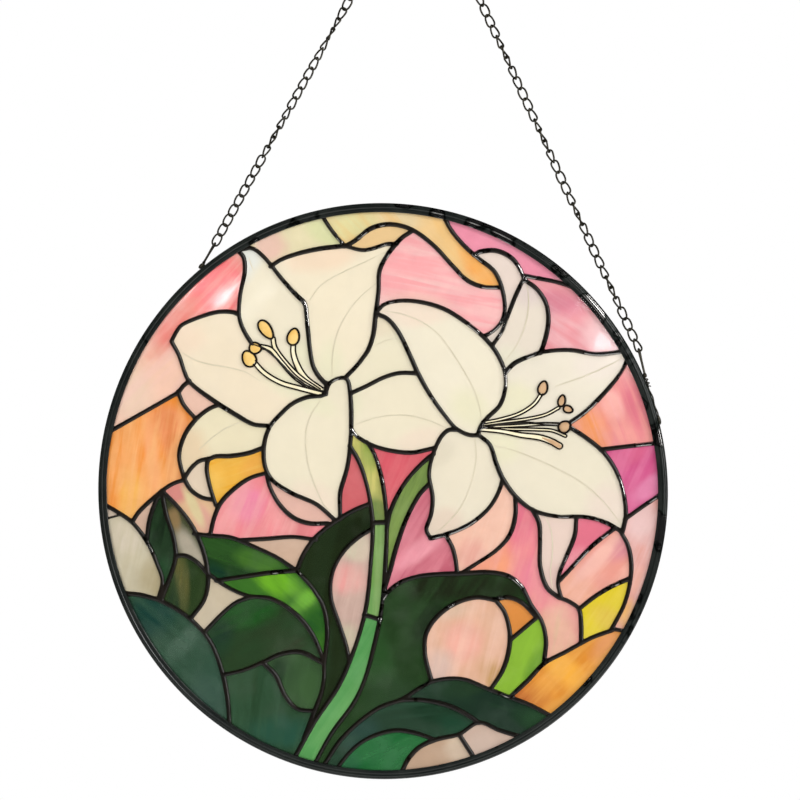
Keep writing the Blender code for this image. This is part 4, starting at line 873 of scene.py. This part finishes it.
def make_eye(name, top, foot, spread, tail):
    """A hairpin of wire for the chain's last link, its legs set in a solder drop on the frame."""
    along = unit(foot - top)
    spread = unit(np.array(spread) - along * along.dot(spread))
    legs = [foot + spread * EYE_LEG, foot + (top - foot) * 0.5 + spread * EYE_LEG * 1.1]
    bend = []
    for step in range(15):
        angle = math.pi * (step / 14)
        reach = along * EYE_HALF_WIDTH * (1 - math.sin(angle)) + spread * EYE_HALF_WIDTH * math.cos(angle)
        bend.append(top + reach)
    rest = [p - 2 * spread * spread.dot(p - top) for p in legs[::-1]]
    wire = tube([*legs, *bend, *rest], EYE_WIRE, 10)
    if tail:
        parts = [wire, drop(foot, foot, TAIL_SOLDER, len(name))]
        straight = [rim_point(a, TAIL_RISE + 0.25 * math.sin(1.9 * a)) for a in np.arange(*tail, 0.3)]
        parts.append(tube(straight, TAIL_WIRE, 8))
        coil = []
        for a in np.linspace(0, 6 * math.pi, 60):
            depth = np.array((0, COIL_RADIUS * math.sin(a), 0))
            coil.append(rim_point(tail[0] + 0.12 * a, COIL_RISE + COIL_RADIUS * math.cos(a)) + depth)
        parts.append(tube(coil, COIL_WIRE, 8))
        end = rim_point(tail[1], TAIL_RISE)
        parts.append(drop(end, np.cross(end, (0, 1, 0)), TAIL_END, 5))
    else:
        neck = drop(foot - along * NECK_UP, along, NECK, 2)
        parts = [wire, drop(foot, foot, SOLDER, len(name)), neck]
    return join(name, [(to_world(v), f) for v, f in parts], 60)


def make_hanging(steel):
    """Ring, chains and wire eyes."""
    middle = np.array((0, 0, PANEL_DROP - RING_DROP))
    ring_path = np.array([(x, 0, z) for x, z in circle(RING_RADIUS, 72)]) + middle
    vertices, faces = tube(ring_path, RING_WIRE, 14, True)
    finish_piece(new_mesh("ring", to_world(vertices), faces, 60), steel, ["hanging_ring"])
    inside_ring = RING_RADIUS - RING_WIRE - LINK_WIRE / 2 - LINK_PLAY
    for side, (place, foot_angle, spread, tail) in EYES.items():
        hook = np.array((place[0], 0, place[1]))
        direction = unit(hook - middle)
        start = middle + direction * inside_ring
        end = hook + direction * (EYE_WIRE + LINK_WIRE / 2 + HOOK_PLAY)
        chain = make_chain("curb_chain_" + side, start, end, TURNS[side])
        finish_piece(chain, steel, ["chain_" + side])
        eye = make_eye("eye_" + side, hook, rim_point(foot_angle, FOOT_RISE), spread, tail)
        finish_piece(eye, steel, ["wire_eye_" + side])


# ---------------------------------------------------------------- painted lines on the petals
def stroke(line, widths, rise, front, closed=False, flat=0.6):
    """Vertices and faces of a low rounded ridge of paint on one face of the glass."""
    line = np.asarray(line, float)
    half = np.broadcast_to(widths, len(line))[:, None] / 2
    if closed:
        along = np.roll(line, -1, axis=0) - np.roll(line, 1, axis=0)
        along /= np.linalg.norm(along, axis=1)[:, None]
        side = np.stack([-along[:, 1], along[:, 0]], axis=1) * half
    else:
        side = sideways(line) * half
    vertices = []
    section = ((-1, PAINT_FOOT), (-0.85, GLASS_HALF + rise * flat), (0, GLASS_HALF + rise),
               (0.85, GLASS_HALF + rise * flat), (1, PAINT_FOOT))
    for place, aside in zip(line, side):
        for share, depth in section:
            x, z = place + aside * share
            vertices.append((x, -depth if front else depth, z))
    return to_world(vertices), skin(len(line), len(section), closed)


def rounded_tip(line, width):
    """Two points that round off a filament's fill, and the line round its edge from heart to heart."""
    aside = sideways(line)
    outward = unit(line[0] - line[1])
    turns = np.linspace(0, math.pi, 9)[1:-1, None]
    bend = line[0] + (aside[0] * np.cos(turns) + outward * np.sin(turns)) * width[0] / 2
    side = aside * width[:, None] / 2
    tip = line[0] + outward * width[0] * np.array(((0.42,), (0.25,)))
    return tip, np.vstack([(line + side)[::-1], bend, line - side])


def oval(middle, half_length, half_width, lean, steps=28):
    """An outline like an anther: an oval a little fuller at one end."""
    turn = math.radians(lean)
    points = []
    for angle in np.arange(steps) * 2 * math.pi / steps:
        along = half_length * math.cos(angle)
        across = half_width * math.sin(angle) * (1 - 0.16 * math.cos(angle))
        points.append((middle[0] + along * math.cos(turn) - across * math.sin(turn),
                       middle[1] + along * math.sin(turn) + across * math.cos(turn)))
    return np.array(points)


def dome(outline, rise, front):
    """Vertices and faces of a low dome of paint inside an outline."""
    middle = outline.mean(axis=0)
    rings = ((1.0, PAINT_FOOT), (0.97, GLASS_HALF + rise * 0.4), (0.7, GLASS_HALF + rise * 0.85),
             (0.35, GLASS_HALF + rise))
    vertices = []
    for share, depth in rings:
        for x, z in middle + (outline - middle) * share:
            vertices.append((x, -depth if front else depth, z))
    return to_world(vertices), skin(len(rings), len(outline))


def make_paint(materials):
    """The petals' veins, and each flower's stamens: filled, then outlined in black."""
    veins, fills, outlines, anthers, tips = [], [], [], [], []
    for front in (True, False):
        for points in VEINS:
            line = smooth_curve(points, 1.2)
            share = np.linspace(0, 1, len(line))
            widths = VEIN_WIDTH * (0.35 + 0.65 * np.sin(math.pi * np.clip(share, 0.04, 0.96)) ** 0.5)
            veins.append(stroke(line, widths, 0.06, front))
        for layer, (points, wide, narrow) in enumerate(FILAMENTS):
            line = smooth_curve(points, 0.8)
            width = np.linspace(wide, narrow, len(line))
            rise = PAINT_COAT * (1 + layer % LAYERS)
            tip, edge = rounded_tip(line, width)
            filled = [width[0] * 0.5, width[0] * 0.9, *width]
            fills.append(stroke(np.vstack([tip, line]), filled, rise, front, flat=0.95))
            outlines.append(stroke(edge, OUTLINE_WIDTH, rise + 0.05, front, flat=0.9))
        tips.append(stroke(*PISTIL_TIP, PAINT_COAT * LAYERS + 0.03, front, flat=0.97))
        for middle, half_length, half_width, lean, warm, *rises in ANTHERS:
            outline = oval(middle, half_length, half_width, lean)
            rise = rises[0] if rises else ANTHER_RISE
            (anthers if warm else tips).append(dome(outline, rise, front))
            outlines.append(stroke(outline, OUTLINE_WIDTH * 1.2, rise + 0.05, front, True, 0.9))
    for name, parts, material, slot in (
        ("petal_veins", veins, "vein", "beige"), ("stamen_fills", fills, "cream_paint", "pale_gold"),
        ("stamen_outlines", outlines, "black_paint", "black_lead"),
        ("anthers_amber", anthers, "amber_paint", "amber"), ("anthers_tan", tips, "tan_paint", "peach"),
    ):
        finish_piece(join(name, parts, 50), materials[material])


# ---------------------------------------------------------------- materials
def linear(color):
    """A colour given as 0 to 255 as seen, as linear values with full opacity."""
    shares = [c / 255 for c in color]
    return (*[s / 12.92 if s <= 0.04045 else ((s + 0.055) / 1.055) ** 2.4 for s in shares], 1.0)


class Nodes:
    """Short calls for building one material's node tree."""

    def __init__(self, name, roughness, metallic=0.0):
        self.material = bpy.data.materials.new(name)
        self.material.use_nodes = True
        self.tree = self.material.node_tree
        self.shader = self.tree.nodes["Principled BSDF"]
        self.shader.inputs["Roughness"].default_value = roughness
        self.shader.inputs["Metallic"].default_value = metallic
        self.place = self.tree.nodes.new("ShaderNodeTexCoord").outputs["Object"]

    def put(self, socket, value):
        if isinstance(value, bpy.types.NodeSocket):
            self.tree.links.new(value, socket)
        else:
            socket.default_value = value

    def add(self, kind, output, inputs, **settings):
        """The output of a new node, from its settings and its inputs' values or links."""
        node = self.tree.nodes.new("ShaderNode" + kind)
        for key, value in settings.items():
            setattr(node, key, value)
        for key, value in inputs.items():
            self.put(node.inputs[key], value)
        return node.outputs[output]

    def noise(self, scale, detail=2.0, rough=0.5, place=None, distortion=0.0):
        return self.add("TexNoise", "Fac", {
            "Vector": place or self.place, "Scale": scale, "Detail": detail, "Roughness": rough,
            "Distortion": distortion,
        })

    def moved(self, location, lean, scale):
        """Places measured from a point in the panel, turned by the lean, in units of the scale."""
        return self.add("Mapping", "Vector", {
            "Vector": self.place, "Location": (location[0] * MM, 0, (location[1] - PANEL_DROP) * MM),
            "Rotation": (0, -math.radians(lean), 0), "Scale": (scale[0] * MM, 1.0, scale[1] * MM),
        }, vector_type="TEXTURE")

    def math(self, operation, a, b):
        return self.add("Math", 0, {0: a, 1: b}, operation=operation)

    def along(self, way):
        """How far along a direction a place is."""
        return self.add("VectorMath", "Value", {0: self.place, 1: way}, operation="DOT_PRODUCT")

    def length(self, vector):
        return self.add("VectorMath", "Value", {0: vector}, operation="LENGTH")

    def ranged(self, value, low, high, to_low, to_high, soft=True):
        return self.add("MapRange", "Result", {
            "Value": value, "From Min": low, "From Max": high, "To Min": to_low, "To Max": to_high,
        }, interpolation_type="SMOOTHSTEP" if soft else "LINEAR")

    def mixed(self, share, first, second):
        return self.add("Mix", 2, {0: share, 6: first, 7: second}, data_type="RGBA")

    def bump(self, height, distance, strength=1.0):
        inputs = {"Strength": strength, "Distance": distance * MM, "Height": height}
        self.put(self.shader.inputs["Normal"], self.add("Bump", "Normal", inputs))

    def finish(self, color, roughness=None, **values):
        self.put(self.shader.inputs["Base Color"], color)
        if roughness is not None:
            self.put(self.shader.inputs["Roughness"], roughness)
        for key, value in values.items():
            self.shader.inputs[key.replace("_", " ")].default_value = value
        return self.material


def glass_material(name, number, base, patches, streak, dark, mottle):
    """Hand-rolled opalescent glass: broad soft areas of colour, streaks, and a faint mottle."""
    nodes = Nodes("glass " + name, 0.16)
    wobble = nodes.noise(38 + number % 5, 3.0, 0.55, distortion=0.4)
    wobble = nodes.ranged(wobble, 0.0, 1.0, -0.55, 0.55, False)
    color = linear(base)
    for x, z, half_length, half_width, lean, tint in patches:
        far = nodes.length(nodes.moved((x, z), lean, (half_length, half_width)))
        share = nodes.ranged(nodes.math("ADD", far, wobble), 0.45, 1.35, 1.0, 0.0)
        color = nodes.mixed(share, color, linear(tint))
    if streak:
        lean, tint, share = streak
        broad = nodes.noise(1.0, 3.0, 0.6, nodes.moved((7 * number, 3 * number), lean, (70, 9)), 0.5)
        fine = nodes.noise(1.0, 2.0, 0.5, nodes.moved((5 * number, 11 * number), lean, (40, 2.6)), 0.3)
        wide = nodes.ranged(broad, 0.4, 0.6, 0.0, share)
        thin = nodes.ranged(fine, 0.45, 0.68, 0.0, share * 0.35)
        color = nodes.mixed(nodes.math("ADD", wide, thin), color, linear(tint))
    cloud = nodes.ranged(nodes.noise(75 + number % 7, 4.0, 0.65), 0.35, 0.7, 0.0, mottle, False)
    color = nodes.mixed(cloud, color, linear([c * 0.78 for c in base]))
    milk = nodes.ranged(nodes.noise(34 + number % 5, 4.0, 0.6), 0.5, 0.75, 0.0, mottle * 1.3, False)
    color = nodes.mixed(milk, color, linear([c + (255 - c) * 0.3 for c in base]))
    rough = nodes.ranged(nodes.noise(120, 2.0), 0.3, 0.7, 0.05, 0.1, False)
    nodes.bump(nodes.noise(55, 2.0, 0.45), 0.25, 0.14)
    return nodes.finish(color, rough, Transmission_Weight=0.42 if dark else 0.25, IOR=1.5,
                        Specular_IOR_Level=0.5)


def metal_material(name, base, light, metallic, rough, scale, bump, shine):
    """Dark metal whose colour and polish both vary a little."""
    nodes = Nodes(name, rough[0], metallic)
    cloud = nodes.ranged(nodes.noise(scale, 4.0, 0.6), 0.35, 0.75, 0.0, 1.0)
    color = nodes.mixed(cloud, linear(base), linear(light))
    polish = nodes.ranged(nodes.noise(scale * 1.7, 3.0), 0.3, 0.7, *rough, False)
    nodes.bump(nodes.noise(scale * 2.2, 3.0), bump, 0.5)
    return nodes.finish(color, polish, Specular_IOR_Level=shine)


def came_material(name, base, light, scale, wear_and_glint_range, polish, shine):
    """Black patina, worn in random patches to bright smooth metal; that the patches grow up and to the right
    is a painted highlight, put where the lights glint.
    """
    nodes = Nodes(name, polish[0])
    cloud = nodes.ranged(nodes.noise(scale * 1.7, 4.0, 0.6), 0.35, 0.75, 0.0, 1.0)
    # Random wear, plus a slope toward the upper right that is painted highlight: bright polished metal where
    # the lights glint.
    wear_and_glint = nodes.math("ADD", nodes.noise(scale, 3.0, 0.55), nodes.along((GLINT_SIDE_SLOPE, 0, GLINT_SIDE_SLOPE)))
    patch = nodes.ranged(wear_and_glint, *wear_and_glint_range, 0.0, 1.0)
    color = nodes.mixed(cloud, linear(base), linear(light))
    color = nodes.mixed(patch, color, (shine, shine * 0.98, shine * 0.95, 1))
    rough = nodes.ranged(patch, 0.0, 1.0, *polish, False)
    nodes.put(nodes.shader.inputs["Metallic"], nodes.ranged(wear_and_glint, wear_and_glint_range[0] - 0.03, wear_and_glint_range[0], 0.0, 1.0))
    nodes.bump(nodes.noise(scale * 3.3, 3.0), 0.12, 0.5)
    return nodes.finish(color, rough, Specular_IOR_Level=0.5)


def paint_material(name, base, other, rough=0.35):
    """Opaque paint fired on the glass, its colour a little uneven."""
    nodes = Nodes(name, rough)
    cloud = nodes.ranged(nodes.noise(160, 3.0), 0.3, 0.7, 0.0, 1.0)
    return nodes.finish(nodes.mixed(cloud, linear(base), linear(other)), rough, Specular_IOR_Level=0.3)


# ---------------------------------------------------------------- the scene
def make_world():
    """Plain white behind the panel and through it, softer white on its faces, a dim room in reflections."""
    world = bpy.data.worlds.new("studio")
    bpy.context.scene.world = world
    world.use_nodes = True
    tree = world.node_tree
    background = tree.nodes["Background"]
    rays = tree.nodes.new("ShaderNodeLightPath")
    either = tree.nodes.new("ShaderNodeMath")
    either.operation = "MAXIMUM"
    tree.links.new(rays.outputs["Is Camera Ray"], either.inputs[0])
    tree.links.new(rays.outputs["Is Transmission Ray"], either.inputs[1])
    level = WORLD_LIGHT
    for switch, strength in ((rays.outputs["Is Glossy Ray"], WORLD_SHINE), (either.outputs[0], 1.0)):
        chosen = tree.nodes.new("ShaderNodeMix")
        tree.links.new(switch, chosen.inputs[0])
        if isinstance(level, float):
            chosen.inputs[2].default_value = level
        else:
            tree.links.new(level, chosen.inputs[2])
        chosen.inputs[3].default_value = strength
        level = chosen.outputs[0]
    tree.links.new(level, background.inputs["Strength"])
    background.inputs["Color"].default_value = (1, 1, 1, 1)


def make_floor():
    mesh = bpy.data.meshes.new("floor")
    half = FLOOR_HALF
    corners = [(x, y, FLOOR_LEVEL) for x, y in ((-half, -half), (half, -half), (half, half), (-half, half))]
    mesh.from_pydata(corners, [], [(0, 1, 2, 3)])
    floor = bpy.data.objects.new("floor", mesh)
    bpy.context.scene.collection.objects.link(floor)
    nodes = Nodes("pale floor", 0.7)
    cloud = nodes.ranged(nodes.noise(3.0, 3.0), 0.3, 0.7, 0.0, 1.0)
    mesh.materials.append(nodes.finish(nodes.mixed(cloud, (0.8, 0.8, 0.79, 1), (0.84, 0.84, 0.83, 1)), 0.7))


def make_camera():
    """A long lens a little to the panel's right and just above it, rolled a little."""
    turn, lift = math.radians(CAMERA_TURN), math.radians(CAMERA_LIFT)
    back = unit((math.sin(turn) * math.cos(lift), -math.cos(turn) * math.cos(lift), math.sin(lift)))
    place = np.array((0, 0, -PANEL_DROP)) * MM + back * CAMERA_FAR
    right = unit(np.cross((0, 0, 1), back))
    axes = np.array([right, np.cross(back, right), back])
    tilt, pan = CAMERA_AIM
    about_x = [[1, 0, 0], [0, math.cos(tilt), -math.sin(tilt)], [0, math.sin(tilt), math.cos(tilt)]]
    about_y = [[math.cos(pan), 0, math.sin(pan)], [0, 1, 0], [-math.sin(pan), 0, math.cos(pan)]]
    roll = math.radians(CAMERA_ROLL)
    about_z = [[math.cos(roll), -math.sin(roll), 0], [math.sin(roll), math.cos(roll), 0], [0, 0, 1]]
    axes = np.array(about_x) @ np.array(about_y) @ np.array(about_z) @ axes
    matrix = np.eye(4)
    matrix[:3, :3] = axes.T
    matrix[:3, 3] = place
    camera = bpy.data.objects.new("camera", bpy.data.cameras.new("camera"))
    camera.data.lens = CAMERA_LENS
    camera.data.clip_start, camera.data.clip_end = 0.05, 30
    camera.matrix_world = Matrix(matrix.tolist())
    bpy.context.scene.collection.objects.link(camera)
    bpy.context.scene.camera = camera


def make_lights():
    """Flat lights, all aimed at the middle of the panel."""
    middle = Vector((0, 0, -PANEL_DROP * MM))
    for name, place, width, height, power, mirrored in LIGHTS:
        light = bpy.data.lights.new(name, "AREA")
        light.shape = "RECTANGLE"
        light.size, light.size_y, light.energy = width, height, power
        lamp = bpy.data.objects.new(name, light)
        lamp.location = place
        lamp.rotation_euler = (middle - Vector(place)).to_track_quat("-Z", "Y").to_euler()
        lamp.visible_glossy = mirrored
        bpy.context.scene.collection.objects.link(lamp)


def main():
    openings, found, rows = pane_openings()
    for number, (name, (_, slot, base, patches, streak)) in enumerate(GLASS.items()):
        mottle = WHITE_MOTTLE if slot == "opal_white" else MOTTLE
        material = glass_material(name, number, base, patches, streak, slot in DARK_SLOTS, mottle)
        pane = make_pane(name, found[name], number)
        finish_piece(pane, material, () if name in CHIPS else [name])
    lead = came_material("black lead", (12, 8, 4), (24, 17, 10), scale=55, wear_and_glint_range=(0.47, 0.52),
                         polish=(0.35, 0.1), shine=0.34)
    finish_piece(make_came(openings, rows), lead, ["lead_came"])
    rim = came_material("dark rim", (18, 23, 21), (32, 36, 33), scale=40, wear_and_glint_range=(0.5, 0.56),
                        polish=(0.3, 0.1), shine=0.3)
    finish_piece(make_frame(), rim, ["frame_ring"])
    make_hanging(metal_material("aged steel", (46, 44, 37), (76, 72, 60), metallic=0.6, rough=(0.3, 0.45),
                                scale=400, bump=0.1, shine=0.4))
    make_paint({
        "vein": paint_material("vein paint", (196, 187, 162), (206, 197, 174)),
        "cream_paint": paint_material("cream paint", (231, 219, 181), (240, 231, 203)),
        "black_paint": paint_material("black paint", (20, 16, 12), (32, 26, 20), 0.25),
        "amber_paint": paint_material("amber paint", (226, 182, 98), (238, 204, 130)),
        "tan_paint": paint_material("tan paint", (178, 140, 104), (200, 164, 126)),
    })
    make_floor()
    make_world()
    make_lights()
    make_camera()
    bpy.context.scene.view_settings.view_transform = "Standard"


main()
